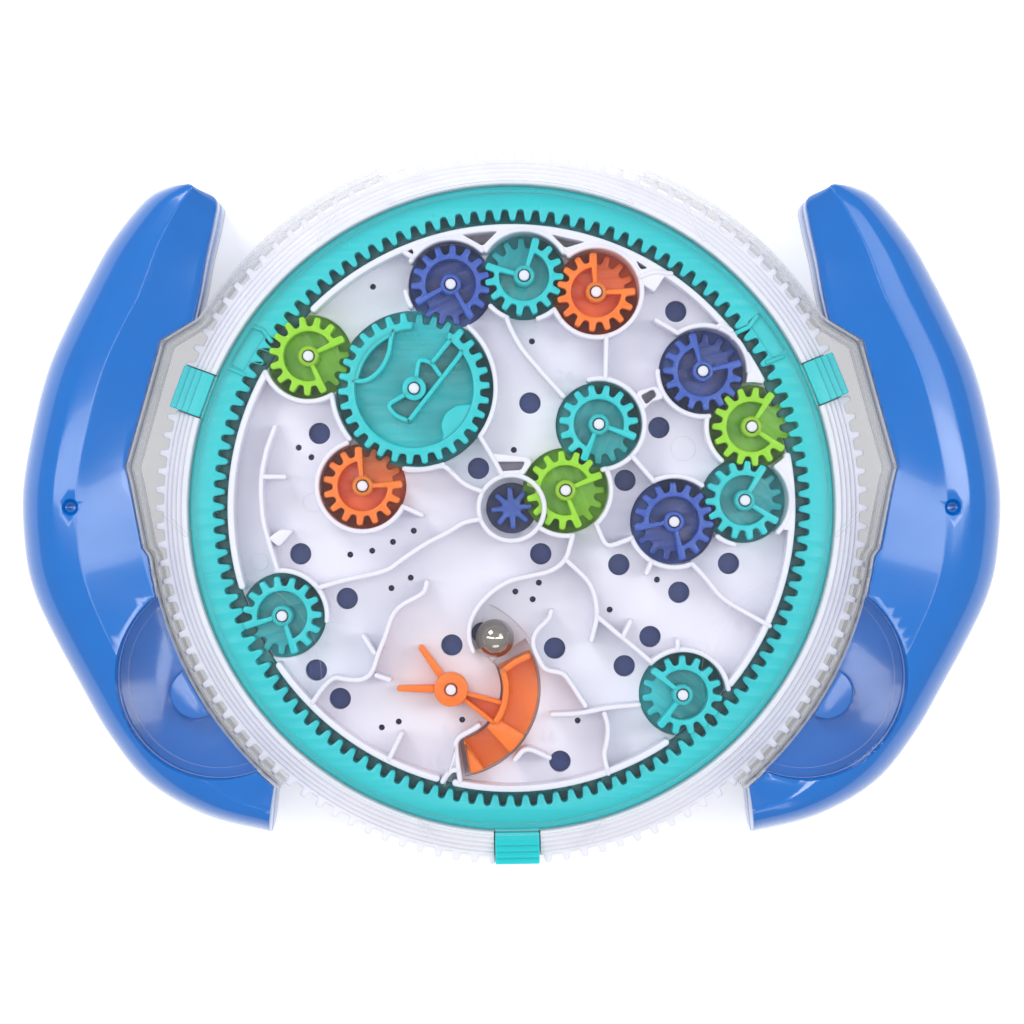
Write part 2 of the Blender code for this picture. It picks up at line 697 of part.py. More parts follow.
def maze_lines():
    """The free walls, each a line of points in the plate's plane."""
    return [
        [near("navy_gear_top_left", 145), *mm((-28.9, 67.0), (-30.3, 69.8))],
        [near("teal_gear_top", 247), *mm((-0.1, 45.7), (2.5, 41.0), (7.4, 35.3)),
         near("teal_gear_centre", 142)],
        [near("teal_gear_top", -49), near("orange_gear_top", 216)],
        [near("orange_gear_top", 283), near("teal_gear_centre", 82)],
        [near("orange_gear_top", 18), *mm((36.5, 60.9), (41.0, 60.2))],
        [near("navy_gear_right_top", 124), *mm((40.4, 46.4), (37.3, 48.2))],
        [near("navy_gear_right_top", 72), *mm((54.0, 47.4), (56.5, 45.5))],
        [near("navy_gear_right_top", 277), near("lime_gear_right", 167)],
        [near("teal_gear_centre", -44), near("navy_gear_right_low", 117)],
        [near("teal_gear_centre", -85), near("lime_gear_centre", 28)],
        [near("lime_gear_centre", -48), *mm((24.4, -10.3)), near("navy_gear_right_low", 201)],
        [near("navy_gear_right_low", 240), *mm((34.7, -16.8))],
        [near("navy_gear_right_low", 293), *mm((50.2, -18.3), (53.5, -22.7), (56.9, -25.0), (66.3, -30.3))],
        [near("lime_gear_centre", 279), *mm((14.1, -13.4), (10.4, -16.3), (3.5, -17.8), (-0.4, -18.6),
         (-5.0, -21.4), (-8.9, -25.5), (-11.0, -29.9), (-11.0, -34.1), (-9.9, -36.9))],
        mm((14.1, -13.4), (19.7, -18.6), (21.5, -22.4), (22.1, -27.9), (20.5, -34.1)),
        [*mm((22.1, -27.9), (28.0, -33.0), (31.9, -36.1)), near("teal_gear_bottom_right", 134)],
        mm((28.5, -33.5), (30.6, -29.2)),
        [near("teal_gear_bottom_right", 97), *mm((42.7, -34.1))],
        mm((10.2, -26.6), (9.7, -28.6), (6.1, -31.7), (5.3, -35.1), (7.1, -39.2), (8.6, -41.8),
           (13.3, -42.3), (15.1, -44.9), (19.0, -50.8)),
        [*mm((10.4, -53.1), (17.2, -52.9), (24.6, -51.3)), near("teal_gear_bottom_right", 192)],
        mm((23.9, -52.9), (24.9, -56.0), (24.6, -60.1), (23.6, -63.5), (24.9, -68.2)),
        mm((0.9, -64.8), (3.7, -61.4), (9.7, -64.2)),
        [*mm((-60.8, 20.9), (-63.1, 14.7), (-64.4, 8.0), (-64.4, 3.1), (-63.9, -3.4), (-62.3, -9.3)),
         near("teal_gear_bottom_left", 95)],
        mm((-64.2, 8.0), (-58.4, 8.0)),
        [at_well(200), *mm((-12.3, -3.6), (-15.6, -5.9), (-22.3, -9.3), (-28.8, -13.7), (-31.6, -16.0),
         (-36.8, -17.3), (-43.2, -18.6)), near("teal_gear_bottom_left", 38)],
        [near("orange_gear_left", 333), *mm((-23.1, -1.8))],
        [near("orange_gear_left", 22), *mm((-22.3, 9.8), (-17.7, 11.1), (-15.6, 9.5), (-13.0, 6.7),
         (-10.4, 5.2)), at_well(150)],
        mm((-21.8, -19.1), (-22.3, -21.9), (-28.5, -25.0), (-30.8, -27.6), (-32.4, -33.0), (-34.4, -37.7),
           (-35.7, -42.3), (-38.3, -44.4), (-43.0, -44.1), (-45.5, -43.3), (-48.4, -45.9), (-51.2, -50.1)),
        mm((-38.1, -33.0), (-35.4, -37.2)),
        mm((-34.7, -43.1), (-31.4, -44.2)),
        mm((-28.3, -58.1), (-31.5, -64.6)),
        mm((-14.3, -64.5), (-16.6, -69.6)),
        [near("big_gear", -36), *mm((-4.8, 12.9)), at_well(105)],
        mm((-7.5, -55.3), (-9.9, -57.0), (-14.1, -59.1), (-14.4, -61.7), (-13.2, -70.2)),
    ]


# Solid blocks beside the walls, and the recesses in the solid stretches.
WALL_BLOCKS = (
    mm((31.9, 29.9), (37.4, 31.5), (39.3, 28.1), (35.9, 27.3), (34.1, 24.9)),
    mm((-6.1, 14.2), (3.8, 13.2), (5.5, 11.9), (3.1, 8.3), (-3.0, 7.8)),
    mm((-62.6, -7.8), (-59.4, -5.4), (-55.9, -5.7), (-57.9, -8.0), (-59.7, -10.1)),
)
WALL_CORES = (
    mm((-13.5, 70.7), (-3.5, 71.2), (-7.4, 67.3)),
    mm((10.2, 70.4), (19.0, 68.4), (13.8, 66.8)),
    mm((31.9, 63.7), (35.2, 61.7), (33.2, 61.2)),
    mm((33.2, 28.9), (36.5, 30.6), (37.4, 28.9), (34.6, 26.6)),
    mm((-3.7, 11.9), (3.5, 11.9), (2.5, 9.8), (-2.7, 9.5)),
)


def maze_plate(material):
    """The white plate: deck, rim, walls, pockets, posts and the holes that catch the ball."""
    rim_inner = PLATE_RADIUS - RIM_WALL
    deck = (DECK_LOW, DECK_TOP)
    wall = (DECK_LOW, WALL_TOP)
    pocket = (DECK_LOW, POCKET_FLOOR)
    post = (DECK_LOW, PIN_TOP)
    gears = [gear for gear in CENTRES if gear not in ("ring", "star")]
    areas = [put(circle(PLATE_RADIUS, TURNED_SIDES), *wall), trim(circle(rim_inner, TURNED_SIDES), *deck),
             trim(band(rim_inner - PAST, PLATE_RADIUS + PAST, *RIM_SLOT), *deck)]
    areas += [trim(band(inner, rim_inner + OVERLAP, start, end), *wall) for start, end, inner in RIM_FILLS]
    for gear, start, end in POCKET_WALLS:
        inner = pocket_radius(gear)
        step = 15 if gear == "big_gear" else 30
        areas.append(trim(band(inner - OVERLAP, inner + MAZE_WALL, start, end, step, CENTRES[gear]), *wall))
    areas += [trim(ribbon(line, MAZE_WALL), *wall) for line in maze_lines()]
    areas += [trim(block, *wall) for block in WALL_BLOCKS]
    areas.append(trim(circle(WELL_RADIUS + WELL_SLOPE + MAZE_WALL, WELL_SIDES), *wall))
    areas.append(trim(circle(WELL_RADIUS + WELL_SLOPE, WELL_SIDES), *deck))
    for gear in gears:
        sides = 2 * POCKET_SIDES if gear == "big_gear" else POCKET_SIDES
        areas.append(trim(circle(pocket_radius(gear), sides, CENTRES[gear]), *pocket))
    areas.append(trim(band(BASKET_INNER - LEVER_GAP, BASKET_OUTER + LEVER_GAP,
                           BASKET_START - LEVER_SWING_DOWN - 1.0, BASKET_END + LEVER_SWING_UP + 4.0, 8,
                           LEVER_PIVOT), *pocket))
    areas.append(clear(circle(WELL_RADIUS, WELL_SIDES)))
    areas += [trim(core, *deck) for core in WALL_CORES]
    areas += [clear(circle(BIG_HOLE, HOLE_SIDES, place)) for place in BIG_HOLES]
    areas += [trim(circle(PIN_RADIUS, PIN_SIDES, CENTRES[gear]), *post) for gear in gears]
    areas.append(trim(circle(PIN_RADIUS, PIN_SIDES, LEVER_PIVOT), *post))
    return finish(terraced("maze_plate", areas), "maze_plate", material)


# Lever and ball.

def lever(material):
    """The tipping lever: hub, two arms and a basket of two compartments on a pair of ribs."""
    hub_low = DECK_TOP + FIT_GAP
    top = hub_low + LEVER_HEIGHT
    low_top = top - LEVER_BAR_DROP
    floor_low = POCKET_FLOOR + FIT_GAP
    floor_top = floor_low + BASKET_SKIN
    inner, outer = BASKET_INNER, BASKET_OUTER
    bar_start, bar_end = LEVER_BAR_SPAN
    reach = inner + BASKET_WALL / 2
    areas = [put([(0.0, 0.0)] + [polar(reach, angle) for angle in LEVER_RIB_ANGLES], hub_low, hub_low + BASKET_SKIN)]
    areas += [put(ribbon([(0.0, 0.0), polar(reach, angle)], RIB_WIDTH), hub_low, top - LEVER_RIB_DROP)
              for angle in LEVER_RIB_ANGLES]
    areas += [put(ribbon([(0.0, 0.0), polar(LEVER_ARM_LENGTH, angle)], LEVER_ARM_WIDTH), hub_low, low_top)
              for angle in LEVER_ARM_ANGLES]
    areas.append(put(band(inner, outer, BASKET_START, BASKET_END), floor_low, top))
    areas.append(trim(band(inner, outer + PAST, BASKET_START - 2, bar_end), floor_low, low_top))
    areas.append(trim(band(inner + BASKET_WALL, outer + PAST, bar_end, BASKET_END - 6), floor_low, floor_top))
    areas.append(trim([polar(inner, BASKET_START + 1)] + arc(outer + PAST, BASKET_START + 10, bar_start)
                      + arc(inner, bar_start, BASKET_START + 1), floor_low, floor_top))
    areas.append(put(circle(LEVER_HUB, 16), hub_low, top))
    areas.append(clear(circle(BORE_RADIUS, PIN_SIDES)))
    body = terraced("lever", areas)
    body.location = (*LEVER_PIVOT, 0)
    return finish(body, "lever", material)


def steel_ball(material):
    """The steel ball, at rest against the lever's basket."""
    bm = bmesh.new()
    bmesh.ops.create_uvsphere(bm, u_segments=16, v_segments=10, radius=BALL_RADIUS)
    ball = as_object("steel_ball", bm)
    ball.location = (*BALL_PLACE, DECK_TOP + FIT_GAP + BALL_RADIUS)
    return finish(ball, "steel_ball", material)


# Covers.

def wing_outline():
    """The left wing of the covers: an arc over the wheel and a pointed shoulder at the handle."""
    shoulder = mm((-80.4, 48.5), (-89.7, 42.8), (-97.7, 14.2), (-98.7, 10.6), (-97.7, 6.7), (-94.4, -10.3))
    return (arc(WING_RADIUS, 112, 146, 6) + shoulder + arc(WING_RADIUS, 187.5, 230, 6)
            + arc(WING_RADIUS - WING_INWARD, 230, 112, 60))


def wing_areas(cover, skirt_span):
    """Both wings of a cover, each with the upright edge that goes round the wheel."""
    areas = []
    for outline in (wing_outline(), mirrored(wing_outline())):
        areas += [put(outline, *skirt_span), trim(shifted(outline, -SKIRT_WALL), *cover)]
    areas.append(trim(circle(WHEEL_TIP_RADIUS + WHEEL_GAP, TURNED_SIDES), *cover))
    return areas


def round_rib(inner, outer, low, high, sides, centre=(0.0, 0.0)):
    """A full ring in two halves that meet on the corners of a circle of as many sides."""
    side = 360.0 / sides
    halves = [band(inner, outer, start, start + 180, side, centre) for start in (3 * side, 3 * side + 180)]
    return [trim(half, low, high) for half in halves]


def front_cover(material):
    """The clear cover over the maze, with a wing and a round lobe at each handle."""
    cover = (FRONT_COVER_LOW, FRONT_COVER_TOP)
    lobes = (LOBE_CENTRE, (-LOBE_CENTRE[0], LOBE_CENTRE[1]))
    areas = wing_areas(cover, (SKIRT_SPLIT + FIT_GAP / 2, FRONT_COVER_TOP))
    areas += [put(circle(LOBE_RADIUS, LOBE_SIDES, centre), *cover) for centre in lobes]
    areas.append(put(circle(COVER_RADIUS, TURNED_SIDES), *cover))
    for centre in lobes:
        areas += round_rib(LOBE_RADIUS - LOBE_RIM, LOBE_RADIUS, FRONT_COVER_LOW,
                           FRONT_COVER_TOP + LOBE_RIM_RISE, LOBE_SIDES, centre)
    rib_outer = WHEEL_INNER - FIT_GAP
    areas += round_rib(rib_outer - BEARING_WALL, rib_outer, RING_LIP_TOP + FIT_GAP, FRONT_COVER_TOP,
                       TURNED_SIDES)
    return finish(terraced("front_cover", areas), "front_cover", material)


def rear_cover(material):
    """The clear cover behind the wheel, with the rib that the dark disc turns on."""
    cover = (REAR_COVER_LOW, REAR_COVER_TOP)
    areas = wing_areas(cover, (REAR_COVER_LOW, SKIRT_SPLIT - FIT_GAP / 2))
    areas.append(put(circle(COVER_RADIUS, TURNED_SIDES), *cover))
    areas += round_rib(REAR_RIB_INNER, REAR_RIB_INNER + BEARING_WALL, REAR_COVER_LOW,
                       REAR_COVER_TOP + BEARING_RIB, TURNED_SIDES)
    return finish(terraced("rear_cover", areas), "rear_cover", material)


# Handles.

# Plan of the left handle from its upper end to its lower one: outer edge, then inner edge.
HANDLE_PLAN = (
    ((-86.6, 82.8), (-75.5, 78.6)),
    ((-94.6, 79.5), (-76.2, 73.5)),
    ((-103.1, 69.1), (-78.3, 64.2)),
    ((-108.7, 59.3), (-80.2, 54.2)),
    ((-114.9, 47.0), (-83.0, 44.0)),
    ((-119.6, 36.1), (-88.0, 34.0)),
    ((-123.2, 22.7), (-92.0, 22.0)),
    ((-126.3, 4.6), (-93.0, 6.0)),
    ((-125.6, -11.9), (-90.0, -10.0)),
    ((-123.2, -22.2), (-87.0, -20.0)),
    ((-118.6, -32.3), (-83.0, -32.0)),
    ((-111.8, -44.9), (-77.5, -46.0)),
    ((-104.1, -58.3), (-70.5, -57.0)),
    ((-94.0, -70.6), (-64.5, -66.5)),
    ((-79.1, -79.2), (-62.3, -69.8)),
    ((-62.0, -83.6), (-60.8, -71.0)),
)


# The rounded outer sides of the two halves, as a distance in, a share of the width and a height.
FRONT_ROUNDING = ((0.3 * MM, 0.0, 24.0 * MM), (1.8 * MM, 0.0, 29.5 * MM), (4.5 * MM, 0.0, 32.8 * MM))
REAR_ROUNDING = ((4.6 * MM, 0.0, 0.0), (1.5 * MM, 0.0, 3.0 * MM), (0.3 * MM, 0.0, 9.0 * MM))


def handle_section(outer, inner, heights):
    """One cross-section of a handle; heights holds a distance in, a share of the width and a height."""
    width = math.hypot(inner[0] - outer[0], inner[1] - outer[1])
    section = []
    for inset, share, height in heights:
        share += min(inset / width, RIDGE_SHARE / 2)
        section.append((outer[0] + (inner[0] - outer[0]) * share,
                        outer[1] + (inner[1] - outer[1]) * share, height))
    return section


def lofted(sections, name):
    """A solid through a row of cross-sections of equal length."""
    bm = bmesh.new()
    rows = [[bm.verts.new(point) for point in section] for section in sections]
    for first, second in zip(rows, rows[1:]):
        for i in range(len(first)):
            bm.faces.new((first[i - 1], first[i], second[i], second[i - 1]))
    bm.faces.new(rows[0])
    bm.faces.new(rows[-1][::-1])
    bmesh.ops.triangulate(bm, faces=[face for face in bm.faces if len(face.verts) == 4])
    return as_object(name, bm)


def handle_shell(name, material, heights, extra=()):
    """One half of the left handle, cleared for the covers and bored for its screws."""
    plan = [mm(outer, inner) for outer, inner in HANDLE_PLAN]
    body = lofted([handle_section(outer, inner, heights) for outer, inner in plan], name)
    cutters = [slab(shifted(wing_outline(), FIT_GAP), BELOW_ALL, ABOVE_ALL)]
    cutters += extra
    return cut(body, *cutters)


def handles(material):
    """Both halves of both handles; the right pair mirrors the left."""
    front_low, rear_top = HANDLE_SPLIT + FIT_GAP / 2, HANDLE_SPLIT - FIT_GAP / 2
    front_heights = ((0.0, 0.0, front_low), *FRONT_ROUNDING, (0.0, RIDGE_SHARE, HANDLE_HEIGHT),
                     (0.0, 1.0, HANDLE_INNER_HEIGHT), (0.0, 1.0, front_low))
    rear_heights = ((0.0, 0.0, rear_top), (0.0, 1.0, rear_top), (0.0, 1.0, 0.0), *REAR_ROUNDING)
    shank_room = SCREW_SHANK_RADIUS + FIT_GAP
    head_room = SCREW_HEAD_RADIUS + FIT_GAP
    shank_top = SCREW_SINK + SCREW_LENGTH
    front_bores = [slab(circle(shank_room, PIN_SIDES, place), BELOW_ALL, shank_top + FIT_GAP)
                   for place in SCREW_PLACES]
    pit = slab(circle(LOBE_RADIUS + FIT_GAP, LOBE_SIDES, LOBE_CENTRE), LOBE_PIT_FLOOR, ABOVE_ALL)
    dimple = slab(circle(DIMPLE_RADIUS, 10, DIMPLE_PLACE), DIMPLE_FLOOR, ABOVE_ALL)
    front = handle_shell("handle_left_front", material, front_heights, [pit, dimple] + front_bores)
    facing = math.degrees(math.atan2(BOSS_CENTRE[1], BOSS_CENTRE[0]))
    boss = arc(BOSS_RADIUS, facing - 90, facing + 90, 20, BOSS_CENTRE)
    front = join(front, slab(boss, LOBE_PIT_FLOOR - OVERLAP, FRONT_COVER_LOW - FIT_GAP))
    rear_bores = []
    for place in SCREW_PLACES:
        rear_bores.append(slab(circle(shank_room, PIN_SIDES, place), BELOW_ALL, ABOVE_ALL))
        rear_bores.append(slab(circle(head_room, HOLE_SIDES, place), BELOW_ALL,
                               SCREW_SINK + SCREW_HEAD_HEIGHT + FIT_GAP))
    rear = handle_shell("handle_left_rear", material, rear_heights, rear_bores)
    for half, name in ((front, "front"), (rear, "rear")):
        finish(half, f"handle_left_{name}", material)
        twin = bpy.data.objects.new(f"handle_right_{name}", half.data.copy())
        bpy.context.scene.collection.objects.link(twin)
        for vertex in twin.data.vertices:
            vertex.co.x = -vertex.co.x
        twin.data.flip_normals()
        twin.data.name = twin.name


def handle_screws(material):
    """The screws that close both handles, all of one form."""
    head_top = SCREW_SINK + SCREW_HEAD_HEIGHT
    top = SCREW_SINK + SCREW_LENGTH
    form = terraced("handle_screw", [put(circle(SCREW_HEAD_RADIUS, PIN_SIDES), SCREW_SINK, head_top),
                                     trim(circle(SCREW_SHANK_RADIUS, PIN_SIDES), SCREW_SINK, top)])
    finish(form, "handle_screw", material)
    for side, way in (("left", 1), ("right", -1)):
        for level, (x, y) in zip(("top", "middle", "low"), SCREW_PLACES):
            screw = bpy.data.objects.new(f"handle_screw_{side}_{level}", form.data)
            screw.location = (way * x, y, 0)
            bpy.context.scene.collection.objects.link(screw)
    bpy.data.objects.remove(form)


def clear_scene():
    for piece in list(bpy.data.objects):
        bpy.data.objects.remove(piece)


def main():
    clear_scene()
    for name in POCKET_STARTS:
        family = name.split("_")[0]
        small_gear(name, plastic(name, COLOURS[family]))
    big_gear("big_gear", plastic("big_gear", COLOURS["big"]))
    ring_gear(plastic("ring_gear", COLOURS["teal"]))
    drive_wheel(plastic("drive_wheel", "#E4E4EE"))
    rear_disc(plastic("rear_disc", "#26407F"))
    maze_plate(plastic("maze_plate", "#E6E6F2"))
    lever(plastic("lever", "#FF7A0A"))
    steel_ball(plastic("steel_ball", "#C0C0C0", roughness=0.12, metallic=1.0))
    front_cover(plastic("front_cover", "#F4F6FA", roughness=0.08, alpha=0.25))
    rear_cover(plastic("rear_cover", "#F4F6FA", roughness=0.08, alpha=0.25))
    handles(plastic("handles", "#0A62BE", roughness=0.2))
    handle_screws(plastic("handle_screw", "#9A9CA0", roughness=0.3, metallic=1.0))


main()
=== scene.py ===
# %% [markdown]
# # A gear maze puzzle
#
# A steel ball runs through a white maze under a clear cover. Turning the frosted wheel
# turns a toothed ring and a star pinion, and these turn fourteen loose gears that carry
# the ball from one channel to the next. A pair of glossy blue handles holds it all.
#
# The imported model comes in first. Its bodies are what the pieces below ride on.

# %% Load the imported model
import math

import bmesh
import bpy
from mathutils import Matrix, Vector


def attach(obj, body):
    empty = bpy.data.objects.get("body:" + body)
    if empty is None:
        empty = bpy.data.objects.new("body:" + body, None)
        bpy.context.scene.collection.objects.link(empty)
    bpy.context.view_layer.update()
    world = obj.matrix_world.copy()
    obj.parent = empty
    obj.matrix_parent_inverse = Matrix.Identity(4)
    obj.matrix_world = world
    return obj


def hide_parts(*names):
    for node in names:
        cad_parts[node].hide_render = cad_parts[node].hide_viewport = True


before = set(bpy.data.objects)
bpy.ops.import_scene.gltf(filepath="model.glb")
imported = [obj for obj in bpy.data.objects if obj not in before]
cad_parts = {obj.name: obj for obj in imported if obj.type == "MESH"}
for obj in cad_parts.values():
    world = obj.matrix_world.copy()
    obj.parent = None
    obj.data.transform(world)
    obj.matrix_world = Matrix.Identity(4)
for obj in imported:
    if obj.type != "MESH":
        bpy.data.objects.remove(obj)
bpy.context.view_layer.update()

# %% [markdown]
# ## Plan geometry
#
# Nearly every moulded piece here is flat: it has one outline in plan, and stands straight
# up from it. So the pieces are drawn in plan, in millimetres, like a toolmaker's drawing,
# and raised afterwards. These helpers give points on arcs and circles, and round off the
# corners of a line, because no moulded corner is perfectly sharp.

# %% Points in plan
# A corner's curve takes up less than half of each side, so that two never meet.
LONGEST_REACH = 0.48


def polar(radius, degrees, centre=(0.0, 0.0)):
    """The point at a radius and an angle from a centre."""
    turn = math.radians(degrees)
    return (centre[0] + radius * math.cos(turn), centre[1] + radius * math.sin(turn))


def arc(radius, start, end, step=3.0, centre=(0.0, 0.0)):
    """Points along an arc, both ends included."""
    count = max(1, math.ceil(abs(end - start) / step))
    return [polar(radius, start + (end - start) * i / count, centre) for i in range(count + 1)]


def circle(radius, sides=48, centre=(0.0, 0.0)):
    """Points of a closed circle."""
    return [polar(radius, 360.0 * i / sides, centre) for i in range(sides)]


def softened(points, reach, closed=True, steps=4):
    """The same line with each corner made a short curve that starts reach away from it."""
    line = []
    for i, here in enumerate(points):
        if not closed and i in (0, len(points) - 1):
            line.append(here)
            continue
        here = Vector(here)
        ends = []
        for other in (points[i - 1], points[(i + 1) % len(points)]):
            way = Vector(other) - here
            ends.append(here + way * min(reach / max(way.length, 1e-6), LONGEST_REACH))
        for k in range(steps + 1):
            t = k / steps
            spot = ends[0] * (1 - t) ** 2 + here * 2 * t * (1 - t) + ends[1] * t ** 2
            line.append((spot.x, spot.y))
    return line


def ribbon(points, width, end_width=None):
    """Closed outline of a wall with round ends along a line of points."""
    end_width = width if end_width is None else end_width
    count = len(points)
    sides = ([], [])
    for i, here in enumerate(points):
        before, after = points[max(i - 1, 0)], points[min(i + 1, count - 1)]
        way = (Vector(after) - Vector(before)).normalized()
        half = (width + (end_width - width) * i / (count - 1)) / 2
        sides[0].append((here[0] + way.y * half, here[1] - way.x * half))
        sides[1].append((here[0] - way.y * half, here[1] + way.x * half))
    caps = []
    ends = ((points[-1], points[-2], end_width / 2), (points[0], points[1], width / 2))
    for end, inside, half in ends:
        facing = math.degrees(math.atan2(end[1] - inside[1], end[0] - inside[0]))
        caps.append(arc(half, facing - 90, facing + 90, 22.5, end)[1:-1])
    return sides[0] + caps[0] + sides[1][::-1] + caps[1]


print("a softened square has", len(softened([(0, 0), (9, 0), (9, 9), (0, 9)], 1.0)), "points")

# %% [markdown]
# ## Raising a plan
#
# A flat curve in Blender can be filled, raised and given a rounded edge all at once, and
# a curve inside another becomes a hole. That is just how a moulded plate looks: straight
# walls, with a small radius along the top that catches the light.

# %% Plates with rounded edges
# Faces that meet at less than this angle are shaded as one smooth surface.
SMOOTH_ANGLE = 38
# Doubles lie closer than this, in millimetres, and a real edge turns by more than this angle.
DOUBLES = 0.0005
EDGE_ANGLE = 40


def linked(name, data):
    """A new object in the scene that shows some data."""
    made = bpy.data.objects.new(name, data)
    bpy.context.scene.collection.objects.link(made)
    return made


def plate(outlines, low, high, rounding, steps=2):
    """A solid in millimetres through closed outlines, holes among them, with rounded edges."""
    plan = bpy.data.curves.new("plan", "CURVE")
    plan.dimensions = "2D"
    plan.fill_mode = "BOTH"
    plan.extrude = (high - low) / 2 - rounding
    plan.bevel_depth = rounding
    plan.bevel_resolution = steps
    plan.offset = -rounding
    for outline in outlines:
        spline = plan.splines.new("POLY")
        spline.points.add(len(outline) - 1)
        spline.points.foreach_set("co", [part for x, y in outline for part in (x, y, 0.0, 1.0)])
        spline.use_cyclic_u = True
    bm = read_back(linked("plan", plan))
    bpy.data.curves.remove(plan)
    bmesh.ops.translate(bm, vec=(0, 0, (low + high) / 2), verts=bm.verts)
    return bm


def read_back(holder):
    """The finished mesh of an object with all its modifiers, as a bmesh; the object goes."""
    seen = holder.evaluated_get(bpy.context.evaluated_depsgraph_get())
    mesh = bpy.data.meshes.new_from_object(seen)
    bm = bmesh.new()
    bm.from_mesh(mesh)
    bpy.data.objects.remove(holder)
    bpy.data.meshes.remove(mesh)
    bmesh.ops.remove_doubles(bm, verts=bm.verts, dist=DOUBLES)
    bmesh.ops.recalc_face_normals(bm, faces=bm.faces)
    return bm


def washer(outer, inner, low, high, rounding, steps=2, sides=240, centre=(0.0, 0.0)):
    """A flat ring."""
    outlines = [circle(outer, sides, centre), circle(inner, sides, centre)]
    return plate(outlines, low, high, rounding, steps)


def joined(parts):
    """Several bmeshes as one."""
    whole = bmesh.new()
    for part in parts:
        mesh = bpy.data.meshes.new("part")
        part.to_mesh(mesh)
        part.free()
        whole.from_mesh(mesh)
        bpy.data.meshes.remove(mesh)
    return whole


def drum(radius, low, high, centre=(0.0, 0.0), sides=48, top_radius=None):
    """A round solid, or a tapered one."""
    bm = bmesh.new()
    bmesh.ops.create_cone(bm, cap_ends=True, segments=sides, radius1=radius,
                          radius2=radius if top_radius is None else top_radius, depth=high - low)
    bmesh.ops.translate(bm, vec=(*centre, (low + high) / 2), verts=bm.verts)
    return bm


def carved(body, others, rounding, operation="DIFFERENCE"):
    """The body with the others cut out of it, or joined to it, and its edges rounded."""
    objects = []
    for name, bm in (("body", body), ("others", joined(others))):
        mesh = bpy.data.meshes.new(name)
        bm.to_mesh(mesh)
        bm.free()
        objects.append(linked(name, mesh))
    holder, tool = objects
    cut = holder.modifiers.new("cut", "BOOLEAN")
    cut.operation = operation
    cut.solver = "EXACT"
    cut.use_self = True
    cut.object = tool
    if rounding:
        edge = holder.modifiers.new("edge", "BEVEL")
        edge.width = rounding
        edge.segments = 2
        edge.limit_method = "ANGLE"
        edge.angle_limit = math.radians(EDGE_ANGLE)
    bm = read_back(holder)
    bpy.data.objects.remove(tool)
    return bm


def placed(bm, centre=(0.0, 0.0), degrees=0.0):
    """The bmesh turned about the upright axis and moved to its place in plan."""
    turn = Matrix.Rotation(math.radians(degrees), 3, "Z")
    bmesh.ops.rotate(bm, cent=(0, 0, 0), matrix=turn, verts=bm.verts)
    bmesh.ops.translate(bm, vec=(*centre, 0), verts=bm.verts)
    return bm


def mirrored(bm):
    """A second bmesh on the other side of the disc, with its faces still pointing outwards."""
    twin = bm.copy()
    bmesh.ops.scale(twin, vec=(-1, 1, 1), verts=twin.verts)
    bmesh.ops.reverse_faces(twin, faces=twin.faces)
    return twin


def both_sides(parts):
    """Each part with its twin on the other side."""
    return [bm for part in parts for bm in (part, mirrored(part))]


def settle(bm, name, body, material, slot, *nodes):
    """Makes a bmesh a finished piece in metres that rides on a body and stands for CAD nodes."""
    bmesh.ops.scale(bm, vec=(0.001,) * 3, verts=bm.verts)
    mesh = bpy.data.meshes.new(name)
    bm.to_mesh(mesh)
    bm.free()
    mesh.materials.append(material)
    mesh.shade_smooth()
    mesh.set_sharp_from_angle(angle=math.radians(SMOOTH_ANGLE))
    piece = linked(name, mesh)
    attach(piece, body)
    if nodes:
        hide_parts(*nodes)
    mesh.calc_loop_triangles()
    print(name, len(mesh.loop_triangles), "triangles")


# %% [markdown]
# ## Finishes
#
# Everything but the ball and the screws is injection-moulded plastic. Colour goes all the
# way through, so a material needs no paint layer, only the small things that a mould leaves:
# a slow drift in gloss and shade where the plastic flowed and cooled, and a faint skin
# texture. One function turns hex colours to linear light and another adds a node.

# %% Colours and nodes
def linear(colour):
    """An sRGB hex colour as linear red, green, blue and alpha."""
    channels = [int(colour[i:i + 2], 16) / 255 for i in (1, 3, 5)]
    return [c / 12.92 if c <= 0.04045 else ((c + 0.055) / 1.055) ** 2.4 for c in channels] + [1.0]


def add(material, kind, sockets=(), **settings):
    """Adds a shader node; sockets are pairs of an input and a value or a node's output."""
    node = material.node_tree.nodes.new("ShaderNode" + kind)
    for name, value in settings.items():
        setattr(node, name, value)
    for key, value in sockets:
        if isinstance(value, bpy.types.NodeSocket):
            material.node_tree.links.new(value, node.inputs[key])
        else:
            node.inputs[key].default_value = value
    return node


def blank(name):
    """A material with an empty node tree."""
    material = bpy.data.materials.new(name)
    material.use_nodes = True
    material.node_tree.nodes.clear()
    return material


def noise(material, millimetres, detail):
    """Noise on the object itself, whose features are so many millimetres across."""
    place = add(material, "TexCoord")
    scale = 1000.0 / millimetres
    return add(material, "TexNoise",
               (("Vector", place.outputs["Object"]), ("Scale", scale), ("Detail", detail)))


def relief(material, pattern, strength, distance):
    """A bump of so many metres that follows a pattern."""
    return add(material, "Bump",
               (("Height", pattern.outputs["Fac"]), ("Strength", strength), ("Distance", distance)))


def principled(material, bump, colour, roughness, extra):
    """Ends a material with a shader that has this colour, roughness and relief."""
    shader = add(material, "BsdfPrincipled",
                 (("Base Color", colour), ("Roughness", roughness),
                  ("Normal", bump.outputs["Normal"]), *extra))
    add(material, "OutputMaterial", (("Surface", shader.outputs["BSDF"]),))
    return material


FLOW_MARK = 11
GLOW_DEPTH = 0.0025


